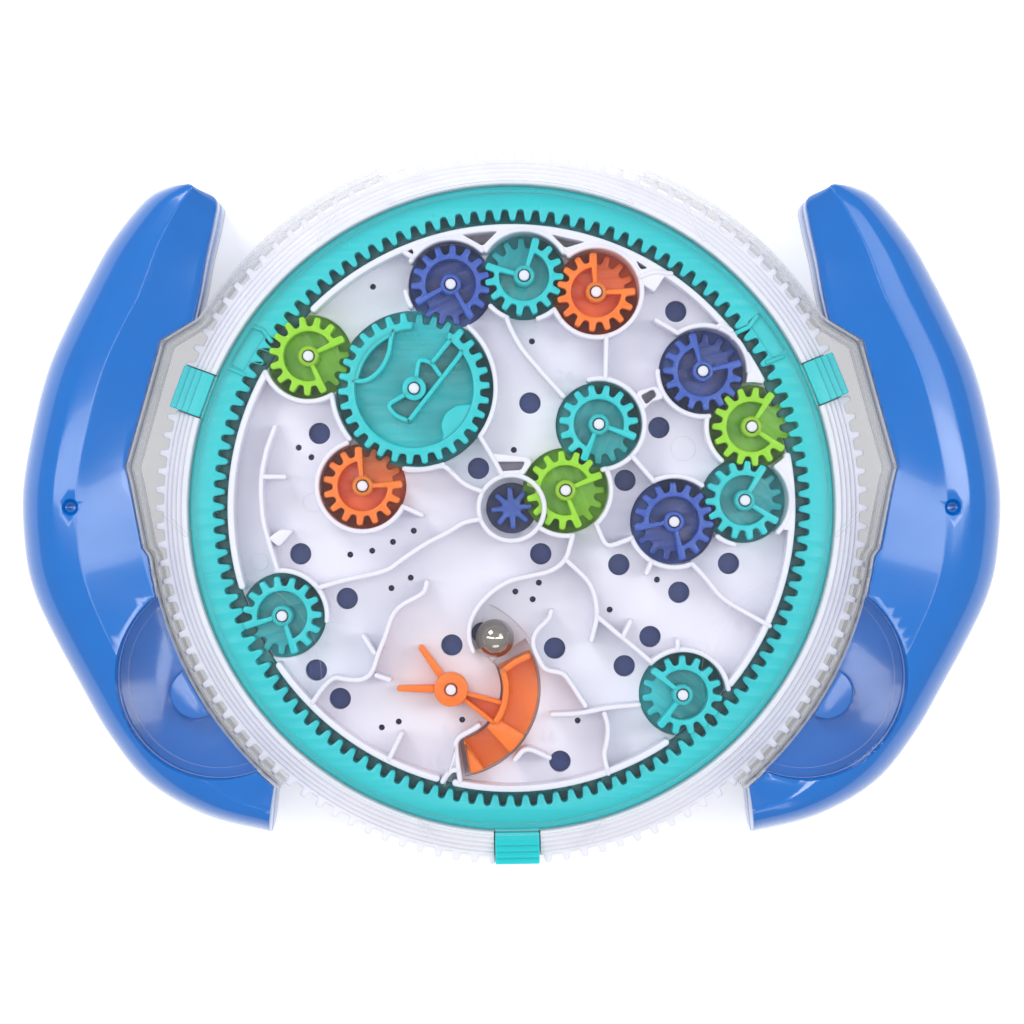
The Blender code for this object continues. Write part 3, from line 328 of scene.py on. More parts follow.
def moulded(name, colour, shade, roughness, ior=1.53, skin=0.5, depth=0.004, glow=0.0, coat=0.0):
    """Injection-moulded plastic: colour drifts to shade, and the skin has a faint texture."""
    material = blank(name)
    # Flow marks are about a centimetre long, and change the gloss more than the colour.
    flow = noise(material, FLOW_MARK, 3.0)
    tint = add(material, "Mix",
               (("Factor", flow.outputs["Fac"]), (6, linear(colour)), (7, linear(shade))),
               data_type="RGBA")
    gloss = add(material, "MapRange",
                (("Value", flow.outputs["Fac"]), ("From Min", 0.3), ("From Max", 0.7),
                 ("To Min", roughness * 0.85), ("To Max", roughness * 1.2)))
    # A polished mould leaves a finer skin than this. It is drawn coarser so that it shows.
    bump = relief(material, noise(material, skin, 2.0), 0.35, depth * 0.001)
    return principled(material, bump, tint.outputs[2], gloss.outputs["Result"],
                      (("IOR", ior), ("Subsurface Weight", glow),
                       ("Subsurface Radius", (1.0, 1.0, 1.0)), ("Subsurface Scale", GLOW_DEPTH),
                       ("Coat Weight", coat), ("Coat Roughness", 0.05)))


print("white is", linear("#FFFFFF"))

# %% [markdown]
# ## The moulded plastics
#
# The handles are glossy ABS from a highly polished mould, so they mirror the lamps. The
# gears are ABS too, a little softer in gloss, and the light that gets into their thin teeth
# makes them glow slightly, which subsurface scattering gives. The maze plate is a satin
# polystyrene with a cool white tint. A moulded part has no painted edge, so all the colour
# change there is comes from flow marks.

# %% Opaque plastics
handle_abs = moulded("handle_abs_polished_blue", "#0070CA", "#0066BE", 0.14,
                     skin=1.6, depth=0.006, coat=0.35)
turquoise_abs = moulded("gear_abs_moulded_turquoise", "#06D2D6", "#02C6CC", 0.30, glow=0.5)
lime_abs = moulded("gear_abs_moulded_lime", "#A0E000", "#92D400", 0.30, glow=0.5)
orange_abs = moulded("gear_abs_moulded_orange", "#FF8200", "#FF7400", 0.30, glow=0.45)
navy_abs = moulded("gear_abs_moulded_navy", "#2B5CC0", "#264FAC", 0.28, glow=0.08)
disc_abs = moulded("rear_disc_abs_moulded_dark_blue", "#1B4294", "#173A86", 0.35)
maze_styrene = moulded("maze_plate_polystyrene_moulded_satin", "#EEEDF7", "#E8E8F4", 0.38,
                       skin=0.8, glow=0.1)
print("opaque plastics made")

# %% [markdown]
# ## Frosted and clear plastics
#
# The wheel is a milky polypropylene: light goes in, scatters and comes out white, so it has
# strong subsurface scattering and a broad highlight. The covers are clear polystyrene, two
# millimetres thick. Light passes straight through a flat sheet and only glances off at a
# slant, so their alpha grows with the slant: nearly nothing face on, and plain to see on
# the upright walls and rounded edges. That also lets the lamps reach the maze below.

# %% Frosted wheel and clear cover
frosted_polypropylene = moulded("wheel_polypropylene_moulded_frosted", "#EDEDF4", "#E2E2EC", 0.42,
                                ior=1.49, skin=0.7, glow=0.5)
SHEET_WAVE = 14


def clear_plastic(name, colour, face, edge, power):
    """Clear moulded plastic whose alpha goes from face, square on, to edge, at a slant."""
    material = blank(name)
    # A moulded sheet is never quite flat: it waves slightly over a centimetre or two.
    bump = relief(material, noise(material, SHEET_WAVE, 1.0), 0.25, 0.0006)
    slant = add(material, "LayerWeight",
                (("Blend", 0.5), ("Normal", bump.outputs["Normal"])))
    rise = add(material, "Math",
               ((0, slant.outputs["Facing"]), (1, power)), operation="POWER")
    alpha = add(material, "MapRange",
                (("Value", rise.outputs["Value"]), ("To Min", face), ("To Max", edge)))
    return principled(material, bump, linear(colour), 0.06,
                      (("IOR", 1.59), ("Alpha", alpha.outputs["Result"])))


clear_styrene = clear_plastic("cover_polystyrene_moulded_clear", "#F4F5F9", 0.015, 0.9, 2.0)
print("clear plastics made")

# %% [markdown]
# ## Metals
#
# The ball is a hardened bearing ball, ground and lapped to a mirror. It shows nothing but
# the room, with the finest of lapping marks. The screws are zinc-plated steel: greyer, and
# blurred by the plating's grain.

# %% Steel and zinc
def metal(name, colour, low, high, grain):
    """Bare metal whose roughness goes from low to high over marks so many mm across."""
    material = blank(name)
    marks = noise(material, grain, 4.0)
    gloss = add(material, "MapRange",
                (("Value", marks.outputs["Fac"]), ("To Min", low), ("To Max", high)))
    bump = relief(material, marks, 0.15, 0.00001)
    return principled(material, bump, linear(colour), gloss.outputs["Result"],
                      (("Metallic", 1.0),))


ball_steel = metal("ball_steel_lapped", "#A9A59C", 0.05, 0.12, 2.0)
screw_zinc = metal("screw_steel_zinc_plated", "#A9ABB0", 0.28, 0.45, 0.4)
print("metals made")

# %% [markdown]
# ## Camera, floor and light
#
# The photograph looks straight down from about 0.9 m, so the camera does too: a long lens
# keeps the walls' perspective as slight as it is there. The table is white, and shows as
# pure white to the camera and in reflections while it still takes the puzzle's shadow. Three
# soft lamps and an even sky light the plastic at a plain level, and a long strip lamp on
# each side draws the streak along the ridge of each glossy handle.

# %% Camera
bpy.context.scene.view_settings.view_transform = "Standard"
SENSOR = 36.0
CAMERA_PLACE = (0.00013, -0.00103, 0.92)
lens = bpy.data.cameras.new("camera")
lens.sensor_width = SENSOR
lens.lens = 122.6
camera = linked("camera", lens)
camera.location = CAMERA_PLACE
bpy.context.scene.camera = camera
print("the camera sees", round(SENSOR / lens.lens * CAMERA_PLACE[2], 4), "m of the table")

# %% Floor
def table_top():
    """A white table whose shadow stays, with the plain parts of it seen as white."""
    material = blank("table_paper_white")
    bump = relief(material, noise(material, 1.5, 2.0), 0.1, 0.0001)
    paper = add(material, "BsdfDiffuse",
                (("Color", linear("#E6E7EA")), ("Normal", bump.outputs["Normal"])))
    glow = add(material, "Emission", (("Color", linear("#FFFFFF")), ("Strength", 0.5)))
    both = add(material, "AddShader",
               ((0, paper.outputs["BSDF"]), (1, glow.outputs["Emission"])))
    path = add(material, "LightPath")
    seen = add(material, "Math",
               ((0, path.outputs["Is Camera Ray"]), (1, path.outputs["Is Glossy Ray"])),
               operation="MAXIMUM")
    seen = add(material, "Math",
               ((0, seen.outputs["Value"]), (1, path.outputs["Is Transmission Ray"])),
               operation="MAXIMUM")
    shown = add(material, "MixShader",
                ((0, seen.outputs["Value"]), (1, paper.outputs["BSDF"]),
                 (2, both.outputs["Shader"])))
    add(material, "OutputMaterial", (("Surface", shown.outputs["Shader"]),))
    return material


bm = bmesh.new()
bmesh.ops.create_grid(bm, x_segments=2, y_segments=2, size=1.6)
floor_mesh = bpy.data.meshes.new("table")
bm.to_mesh(floor_mesh)
bm.free()
floor_mesh.materials.append(table_top())
table = linked("table", floor_mesh)
print("table made")

# %% Sky and lamps
sky = bpy.data.worlds.new("sky")
sky.use_nodes = True
background = sky.node_tree.nodes["Background"]
background.inputs["Color"].default_value = linear("#FBFCFF")
background.inputs["Strength"].default_value = 0.64
bpy.context.scene.world = sky


def lamp(name, place, size, power):
    """A rectangular soft lamp of so many watts that faces the puzzle."""
    data = bpy.data.lights.new(name, "AREA")
    data.shape = "RECTANGLE"
    data.size, data.size_y = size
    data.energy = power
    lit = linked(name, data)
    lit.location = place
    lit.rotation_euler = (-Vector(place)).to_track_quat("-Z", "Y").to_euler()


lamp("key_lamp", (-0.55, 0.75, 0.95), (0.45, 0.45), 4.7)
lamp("fill_lamp", (0.75, 0.25, 1.0), (0.6, 0.4), 1.6)
lamp("low_lamp", (0.1, -0.9, 0.8), (0.7, 0.3), 1.3)
for name, side in (("left_strip", -0.48), ("right_strip", 0.48)):
    lamp(name, (side, 0.05, 0.95), (0.16, 0.9), 1.8)
print("lamps made")

# %% [markdown]
# ## The gear train's places
#
# All the gears share one module of 1.25 mm: fifteen teeth on the small ones, thirty on the
# large one, eight on the star and a hundred and twenty inside the ring. These are the
# centres and the turns at which every pair is in mesh, in millimetres and degrees. A
# gear's turn is the angle of one of its two ribs, where its open pocket starts.

# %% Places and turns
SMALL_GEARS = {
    "lime_gear_left": ((-52.308, 39.131), -68.0),
    "navy_gear_top_left": ((-15.683, 57.632), 206.8),
    "teal_gear_top": ((3.237, 59.854), 70.6),
    "orange_gear_top": ((21.813, 55.634), -0.2),
    "orange_gear_left": ((-38.382, 5.676), 1.6),
    "lime_gear_right": ((61.877, 20.944), -36.5),
    "navy_gear_right_top": ((49.303, 35.256), 11.1),
    "teal_gear_right": ((60.117, 1.975), -34.1),
    "navy_gear_right_low": ((41.880, -3.531), 187.7),
    "teal_gear_bottom_left": ((-59.108, -27.814), 194.0),
    "teal_gear_bottom_right": ((44.133, -48.163), 138.9),
    "lime_gear_centre": ((13.949, 4.559), -71.18),
    "teal_gear_centre": ((22.508, 21.578), -114.22),
}
BIG_CENTRE = (-25.125, 30.821)
LEVER_PIVOT = (-15.6, -46.8)
CENTRES = {name: place[0] for name, place in SMALL_GEARS.items()} | {"big_gear": BIG_CENTRE}
DECK_LOW, DECK_TOP, POCKET_FLOOR, WALL_TOP = 10.5, 14.0, 11.8, 24.3
POCKET = {name: 20.475 if name == "big_gear" else 11.1 for name in CENTRES}
PLATE_RADIUS = 73.0
MM_PER_PIXEL = 0.258
MIDDLE_PIXEL = (511.5, 508)


def from_photo(pixel):
    """The place in plan of a pixel of the photograph."""
    return ((pixel[0] - MIDDLE_PIXEL[0]) * MM_PER_PIXEL, (MIDDLE_PIXEL[1] - pixel[1]) * MM_PER_PIXEL)


# The body, finish and slot that all the maze plate's pieces share.
MAZE = ("frame", maze_styrene, "white_plate")


def family_of(name):
    """A gear's colour family. The large gear is turquoise, as the teal ones are."""
    return "teal" if name == "big_gear" else name.split("_")[0]


print(len(CENTRES), "gears")

# %% [markdown]
# ## The deck
#
# The maze plate is one moulding. Its floor is a thick disc with a round pocket for every
# gear, twenty round holes that show the dark disc behind, and smaller ones beside them. All
# are too small for the ball to fall through. A Boolean takes the pockets and holes out of a
# disc in one go, and a small bevel then gives each edge the radius that the mould has.

# %% Deck
HOLES = ((42.7, 51.1), (38.3, 20.9), (29.5, 7.2), (4.8, 27.3), (-8.6, 10.3), (7.6, -11.9),
         (27.9, -14.7), (56.4, -14.4), (43.5, -21.9), (36.0, -33.4), (29.3, -41.0),
         (11.2, -36.4), (12.6, -65.8), (-15.5, -35.6), (-7.6, -32.5), (-49.9, 19.4),
         (-54.8, -11.9), (-42.7, -23.5), (-50.7, -42.1), (-44.5, -49.5))
SMALL_HOLES = ((-36.0, 57.5), (5.3, 43.3), (0.6, 15.1), (-55.3, 15.7), (-52.0, 13.2),
               (-30.8, -8.8), (-36.2, -11.1), (-41.9, -12.1), (-25.4, -5.9), (-31.2, -20.8),
               (-26.2, -18.1), (1.0, -21.7), (7.1, -19.4), (5.5, -23.7), (37.8, -18.6),
               (25.5, -26.4), (17.2, -55.2), (-12.8, -55.0), (-29.3, -55.5), (-33.7, -57.0))
HOLE_RADIUS, SMALL_HOLE_RADIUS, WELL_BORE = 2.8, 0.8, 6.6
# The two recesses for the lever's basket: inner and outer radius, first and last angle.
BASKET_RECESS = (12.8, 23.2, -81, 34)
SHALLOW_RECESS = (12.4, 24.0, 30, 66)
# The cutters run from well below the deck to well above it.
BELOW, ABOVE = 5, 20


def sector(inner, outer, start, end, step=3.0, centre=(0.0, 0.0)):
    """The outline between two arcs about one centre."""
    return arc(outer, start, end, step, centre) + arc(inner, end, start, step, centre)


cutters = [drum(POCKET[name], POCKET_FLOOR, ABOVE, centre, 96 if name == "big_gear" else 64)
           for name, centre in CENTRES.items()]
cutters += [drum(HOLE_RADIUS, BELOW, ABOVE, place, 40) for place in HOLES]
cutters += [drum(SMALL_HOLE_RADIUS, BELOW, ABOVE, place, 16) for place in SMALL_HOLES]
cutters.append(drum(WELL_BORE, BELOW, ABOVE, sides=64))
# The well widens to its top, where the star's points turn.
cutters.append(drum(6.55, 12.8, DECK_TOP + 0.05, sides=64, top_radius=7.9))
basket_room = sector(*BASKET_RECESS, centre=LEVER_PIVOT)
cutters.append(plate([basket_room], POCKET_FLOOR, ABOVE, 0.3))
shallow = softened(sector(*SHALLOW_RECESS, centre=LEVER_PIVOT), 0.8)
cutters.append(plate([shallow], DECK_TOP - 0.5, ABOVE, 0.2))
deck = carved(drum(PLATE_RADIUS - 0.05, DECK_LOW, DECK_TOP, sides=180), cutters, 0.18)
settle(deck, "maze_deck", *MAZE, "maze_plate")

# %% [markdown]
# ## The light in the pockets
#
# The gears are slightly see-through, so each pocket's floor takes on the colour of the
# light that its gear lets through. A thin skin on the floor, in a darker hue of the gear's colour, is
# painted coloured light and shade that stands for that.

# %% Pocket floors of painted light and shade
# Darker hues of the gear colours, painted onto the pocket floors as coloured light and shade.
POCKET_LIGHT = {"lime": "#78B414", "navy": "#3D5FA8", "orange": "#D2581A", "teal": "#129CA2"}


def painted_pocket_light(name, top):
    """A skin of painted coloured light and shade on the floor of one pocket, up to a height, kept
    inside the plate's rim.
    """
    outline = []
    for x, y in circle(POCKET[name] - 0.1, 72, CENTRES[name]):
        short = min(1.0, (PLATE_RADIUS - 0.2) / math.hypot(x, y))
        outline.append((x * short, y * short))
    return plate([outline], POCKET_FLOOR - 0.3, top, 0.05, 1)


for family, colour in POCKET_LIGHT.items():
    # Each of these materials is painted light and shade, not a plastic of its own.
    painted_light_finish = moulded("pocket_painted_light_and_shade_" + family, colour, colour, 0.5)
    # Pockets run into each other, so each painted skin is a hair above the last.
    light_sheets = [painted_pocket_light(name, POCKET_FLOOR + 0.02 + 0.018 * i)
              for i, name in enumerate(CENTRES) if family_of(name) == family]
    settle(joined(light_sheets), "painted_pocket_lights_" + family, "frame", painted_light_finish, "white_plate")

# %% [markdown]
# ## The walls
#
# The channels are bounded by thin walls with rounded tops. Each wall is a line in plan,
# softened at its bends, given a width and round ends, and raised. Pocket walls are arcs
# about a gear's centre; the rim is an arc about the disc's. Where one of them would run into
# a pocket, only the runs outside it are kept. In a wall's line, a point is a place, a gear
# and an angle on its pocket's wall, or an angle on the wall of the star's well.

# %% Wall lines
WALL = 1.3
WALL_LOW = 13.8
WELL_INNER, WELL_OUTER = 7.8, 9.1


def near(gear, degrees):
    """The point on the middle of a pocket's wall, seen from its gear."""
    return polar(POCKET[gear] + WALL / 2, degrees, CENTRES[gear])


POCKET_WALLS = {
    "lime_gear_left": ((201, 304),), "big_gear": ((183, 218), (262, 291), (-36, 48)),
    "navy_gear_top_left": ((47, 150), (190, 209)),
    "teal_gear_top": ((31, 147), (220, 248), (-72, -49)),
    "orange_gear_top": ((18, 127), (216, 378)), "orange_gear_left": ((110, 333),),
    "teal_gear_centre": ((-86, 103),), "lime_gear_centre": ((-48, 28), (236, 279)),
    "navy_gear_right_top": ((0, 124), (180, 278)), "lime_gear_right": ((166, 228),),
    "teal_gear_right": ((-44, 56), (230, 256)), "navy_gear_right_low": ((53, 118), (200, 293)),
    "teal_gear_bottom_left": ((-6, 97),), "teal_gear_bottom_right": ((8, 135),)}
FREE_WALLS = (
    (("navy_gear_top_left", 145), (-27.6, 65.8)),
    (("teal_gear_top", 247), (-0.1, 45.7), (2.5, 41.0), (7.4, 35.3), ("teal_gear_centre", 142)),
    (("teal_gear_top", -49), ("orange_gear_top", 216)),
    (("orange_gear_top", 283), ("teal_gear_centre", 82)),
    (("orange_gear_top", 18), (36.5, 60.9), (41.0, 60.2)),
    (("navy_gear_right_top", 124), (40.4, 46.4), (37.3, 48.2)),
    (("navy_gear_right_top", 72), (54.0, 47.4), (56.5, 45.5)),
    (("navy_gear_right_top", 277), ("lime_gear_right", 167)),
    (("teal_gear_centre", -44), ("navy_gear_right_low", 117)),
    (("teal_gear_centre", -85), ("lime_gear_centre", 28)),
    (("lime_gear_centre", -48), (24.4, -10.3), ("navy_gear_right_low", 201)),
    (("navy_gear_right_low", 240), (34.7, -16.8)),
    (("navy_gear_right_low", 293), (50.2, -18.3), (53.5, -22.7), (56.9, -25.0), (66.3, -30.3)),
    (("lime_gear_centre", 279), (14.1, -13.4), (10.4, -16.3), (3.5, -17.8), (-0.4, -18.6),
     (-5.0, -21.4), (-8.9, -25.5), (-11.0, -29.9), (-11.0, -34.1), (-9.9, -36.9)),
    ((14.1, -13.4), (19.7, -18.6), (21.5, -22.4), (22.1, -27.9), (20.5, -34.1)),
    ((22.1, -27.9), (28.0, -33.0), (31.9, -36.1), ("teal_gear_bottom_right", 134)),
    ((28.5, -33.5), (30.6, -29.2)),
    (("teal_gear_bottom_right", 97), (42.7, -34.1)),
    ((10.2, -26.6), (9.7, -28.6), (6.1, -31.7), (5.3, -35.1), (7.1, -39.2), (8.6, -41.8),
     (13.3, -42.3), (15.1, -44.9), (19.0, -50.8)),
    ((10.4, -53.1), (17.2, -52.9), (24.6, -51.3), ("teal_gear_bottom_right", 192)),
    ((23.9, -52.9), (24.9, -56.0), (24.6, -60.1), (23.6, -63.5), (24.9, -68.2)),
    ((0.9, -64.8), (3.7, -61.4), (9.7, -64.2)),
    ((-60.8, 20.9), (-63.1, 14.7), (-64.4, 8.0), (-64.4, 3.1), (-63.9, -3.4), (-62.3, -9.3),
     ("teal_gear_bottom_left", 95)),
    ((-64.2, 8.0), (-58.4, 8.0)),
    (("well", 200), (-12.3, -3.6), (-15.6, -5.9), (-22.3, -9.3), (-28.8, -13.7), (-31.6, -16.0),
     (-36.8, -17.3), (-43.2, -18.6), ("teal_gear_bottom_left", 38)),
    (("orange_gear_left", 333), (-23.1, -1.8)),
    (("orange_gear_left", 22), (-22.3, 9.8), (-17.7, 11.1), (-15.6, 9.5), (-13.0, 6.7),
     (-10.4, 5.2), ("well", 150)),
    ((-21.8, -19.1), (-22.3, -21.9), (-28.5, -25.0), (-30.8, -27.6), (-32.4, -33.0), (-34.4, -37.7),
     (-35.7, -42.3), (-38.3, -44.4), (-43.0, -44.1), (-45.5, -43.3), (-48.4, -45.9), (-51.2, -50.1)),
    ((-38.1, -33.0), (-35.4, -37.2)),
    ((-34.7, -43.1), (-31.4, -44.2)),
    ((-28.3, -58.1), (-31.5, -64.6)),
    ((-17.7, -70.3), (-16.6, -68.6), (-15.2, -67.3), (-13.9, -67.4)),
    (("big_gear", -36), (-4.8, 12.9), ("well", 105)),
    ((-8.5, -56.0), (-9.9, -57.0), (-14.1, -59.1), (-14.4, -61.7), (-13.2, -70.2)))


def wall_point(item):
    """The place of one point of a wall's line."""
    if item[0] == "well":
        return polar((WELL_INNER + WELL_OUTER) / 2, item[1])
    return near(*item) if isinstance(item[0], str) else item


def outside_pockets(line):
    """The runs of a line that keep clear of every pocket."""
    runs = [[]]
    for point in line:
        if all(math.dist(point, CENTRES[name]) > POCKET[name] + WALL / 2 - 0.08
               for name in CENTRES):
            runs[-1].append(point)
        elif runs[-1]:
            runs.append([])
    return [run for run in runs if len(run) > 2]


lines = [softened([wall_point(item) for item in items], 2.4, closed=False) for items in FREE_WALLS]
for gear, ranges in POCKET_WALLS.items():
    for start, end in ranges:
        lines += outside_pockets(arc(POCKET[gear] + WALL / 2, start, end, 3, CENTRES[gear]))
print(len(lines), "wall lines")

# %% Walls, rim and well
walls = []
for i, line in enumerate(lines):
    # Each top is a hair lower than the last, so that no two crossing tops lie in one plane.
    walls.append(plate([ribbon(line, WALL)], WALL_LOW, WALL_TOP - 0.004 * i, 0.5, 3))
for run in outside_pockets(arc(PLATE_RADIUS - 0.85, -101.5, 254.5, 1.5)):
    walls.append(plate([ribbon(run, 1.7)], DECK_LOW, WALL_TOP - 0.3, 0.45, 3))
walls.append(washer(WELL_OUTER, WELL_INNER, WALL_LOW, WALL_TOP - 0.2, 0.5, 3, sides=72))
settle(joined(walls), "maze_walls", *MAZE)

# %% [markdown]
# ## Solid stretches, posts and numbers
#
# Near the rim the space between two pockets is too thin for two walls, so it is solid up to
# the tops, with small sunk panels where a thick lump of plastic would shrink. Every gear
# turns on a post with a rounded top. Beside some stretches of the track the mould has left
# a number or a ring: a thin rib of plastic, a tenth of a millimetre high.

# %% Solid stretches
def rim_fill(start, end, inner):
    """A solid stretch between two angles, from a radius out to the rim."""
    return plate([sector(inner, 72.3, start, end, 2)], WALL_LOW, WALL_TOP - 0.35, 0.3)


fills = joined([rim_fill(56.5, 111.0, 66.6), rim_fill(26.0, 41.0, 68.5), rim_fill(-4.6, 11.0, 68.5)])
RIM_GEARS = ("navy_gear_top_left", "teal_gear_top", "orange_gear_top", "navy_gear_right_top",
             "lime_gear_right", "teal_gear_right")
PANELS = (((-13.5, 70.7), (-3.5, 71.2), (-7.4, 67.3)), ((10.2, 70.4), (19.0, 68.4), (13.8, 66.8)),
          ((31.9, 63.7), (35.2, 61.7), (33.2, 61.2)))
cutters = [drum(POCKET[name] + 0.35, BELOW, 30, CENTRES[name], 64) for name in RIM_GEARS]
cutters += [plate([softened(panel[::-1], 0.8)], DECK_TOP, 30, 0.1) for panel in PANELS]
settle(carved(fills, cutters, 0.25), "maze_solid_stretches", *MAZE)
BLOCK_TOP = WALL_TOP - 0.45
blocks = []
for block, core in ((((31.9, 29.9), (37.4, 31.5), (39.3, 28.1), (35.9, 27.3), (34.1, 24.9)),
                     ((33.2, 28.9), (36.5, 30.6), (37.4, 28.9), (34.6, 26.6))),
                    (((-6.1, 14.2), (3.8, 13.2), (5.5, 11.9), (3.1, 8.3), (-3.0, 7.8)),
                     ((-3.7, 11.9), (3.5, 11.9), (2.5, 9.8), (-2.7, 9.5)))):
    outlines = [softened(block, 1.2), softened(core, 0.7)]
    blocks.append(plate(outlines, WALL_LOW, BLOCK_TOP, 0.35))
ramp = softened(((-62.6, -7.8), (-59.4, -5.4), (-55.9, -5.7), (-57.9, -8.0), (-59.7, -10.1)), 1.0)
blocks.append(plate([ramp], WALL_LOW, BLOCK_TOP, 0.35))
settle(joined(blocks), "maze_blocks", *MAZE)

# %% Posts
POST_TOP = 23.4


def rounded_end(bm, height, offset, segments):
    """Rounds the edges that lie at one height."""
    rim = [edge for edge in bm.edges if all(abs(v.co.z - height) < 0.01 for v in edge.verts)]
    bmesh.ops.bevel(bm, geom=rim, offset=offset, segments=segments, profile=0.5,
                    affect="EDGES", material=-1)
    return bm


posts = [rounded_end(drum(1.35, POCKET_FLOOR - 0.3, POST_TOP, centre, 32), POST_TOP, 0.45, 3)
         for centre in list(CENTRES.values()) + [LEVER_PIVOT]]
settle(joined(posts), "gear_posts", *MAZE)

# %% Track numbers
NUMBER_PIXELS = (("16", (548, 738)), ("16", (434, 762)), ("12", (623, 753)), ("1", (444, 730)),
                 ("15", (640, 348)), ("24", (565, 375)), ("10", (594, 567)), ("7", (318, 588)),
                 ("9", (740, 628)))
RING_PIXELS = (((311, 502), 2.6), ((258, 562), 2.3), ((684, 448), 3.3))


def figure(text, centre, height):
    """A raised figure on the deck."""
    letters = bpy.data.curves.new("figure", "FONT")
    letters.body = text
    letters.size = height
    letters.align_x, letters.align_y = "CENTER", "CENTER"
    letters.extrude = 0.09
    bm = read_back(linked("figure", letters))
    bpy.data.curves.remove(letters)
    bmesh.ops.translate(bm, vec=(*centre, DECK_TOP + 0.02), verts=bm.verts)
    return bm


raised = [figure(text, from_photo(pixel), 4.6) for text, pixel in NUMBER_PIXELS]
for pixel, radius in RING_PIXELS:
    raised.append(washer(radius, radius - 0.3, DECK_TOP - 0.1, DECK_TOP + 0.11, 0.05, 1, 48,
                         from_photo(pixel)))
settle(joined(raised), "track_numbers", *MAZE)

# %% [markdown]
# ## Small gears
#
# A small gear has two storeys. The lower one is a whole toothed web, which keeps the gear
# in mesh all the way round. The upper one is eight millimetres tall and leaves out three
# teeth, so that the ball can drop into the open sector between two ribs and be carried
# round. The rest of the upper storey is a ring with teeth, with a deep recess inside it.

# %% Tooth outlines
# A gear's teeth: the radius of the tips, that of the roots, and a tooth's width at each.
SMALL = (10.2, 7.75, 1.5, 1.95)
BIG = (19.575, 17.125, 1.5, 1.95)
TOOTH_ROUNDING = 0.6


def tooth(middle, tip, root, tip_width, root_width):
    """The four corners of one tooth, counter-clockwise."""
    return [polar(radius, middle + math.degrees(side * width / 2 / radius))
            for radius, width, side in ((root, root_width, -1), (tip, tip_width, -1),
                                        (tip, tip_width, 1), (root, root_width, 1))]


def toothed(count, sizes, first=0.0):
    """A whole toothed outline with rounded tips and roots."""
    corners = [corner for i in range(count) for corner in tooth(first + 360 / count * i, *sizes)]
    return softened(corners, TOOTH_ROUNDING)


print("a small gear's outline has", len(toothed(15, SMALL)), "points")

# %% Small gears
GEAR_LOW, WEB_TOP, GEAR_TOP = 12.1, 14.0, 22.0
# The upper storey starts inside the web, so that no gap shows between the two.
STOREY_LOW = WEB_TOP - 0.5
BORE = circle(1.65, 24)
HUB = 2.75
SECTOR = 96


def upper_storey():
    """The outline of a small gear's upper storey, with its open sector from 0 degrees."""
    corners = tooth(SECTOR, *SMALL)[1:]
    for i in range(5, 15):
        corners += tooth(24 * i, *SMALL)
    corners += tooth(360, *SMALL)[:-1]
    rib_turn = math.degrees(math.asin(0.55 / HUB))
    hub = arc(HUB, rib_turn + 12, SECTOR - 12 - rib_turn, 8)
    outline = softened(corners, TOOTH_ROUNDING) + [polar(HUB, rib_turn)] + hub
    return outline + [polar(HUB, SECTOR - rib_turn)]


def recess_between(start, end, inner, outer, rib=1.1):
    """The outline of a recess between two ribs, from the hub to the ring."""
    outer_lean, inner_lean = (math.degrees(math.asin(rib / 2 / radius)) for radius in (outer, inner))
    outline = arc(outer, start + outer_lean, end - outer_lean, 5)
    outline += arc(inner, end - inner_lean, start + inner_lean, 9)
    return softened(outline, 0.35, steps=2)


def small_gear(name, material, slot):
    """Both storeys of one small gear, in its place in the train."""
    web = plate([toothed(15, SMALL), BORE], GEAR_LOW, WEB_TOP, 0.22)
    recess = recess_between(SECTOR, 360, HUB, 6.45)
    upper = plate([upper_storey(), recess, BORE], STOREY_LOW, GEAR_TOP, 0.32)
    collar = plate([circle(2.55, 40), BORE], GEAR_TOP - 0.6, GEAR_TOP + 0.25, 0.2)
    gear = placed(joined([web, upper, collar]), *SMALL_GEARS[name])
    settle(gear, name + "_moulded", name, material, slot, name)


FAMILIES = {"lime": (lime_abs, "lime"), "navy": (navy_abs, "navy"), "orange": (orange_abs, "orange"),
            "teal": (turquoise_abs, "turquoise")}
for name in SMALL_GEARS:
    small_gear(name, *FAMILIES[family_of(name)])

# %% [markdown]
# ## The large gear
#
# The large idler has a shallow dish instead of an open sector. Thin ribs stand in the dish
# and divide it: a long curved one across the upper right, two fan-shaped cells beside the
# hub, a lens-shaped cell by the rim, and a raised pad at the lower right. A stretch of the
# toothed rim is left out at the top, where the ball comes in.

# %% Large gear
def big_rib(points, reach=1.5):
    """A rib on the dish along a softened line."""
    line = softened(points, reach, closed=False)
    return plate([ribbon(line, 1.15)], WEB_TOP - 0.4, GEAR_TOP, 0.35)


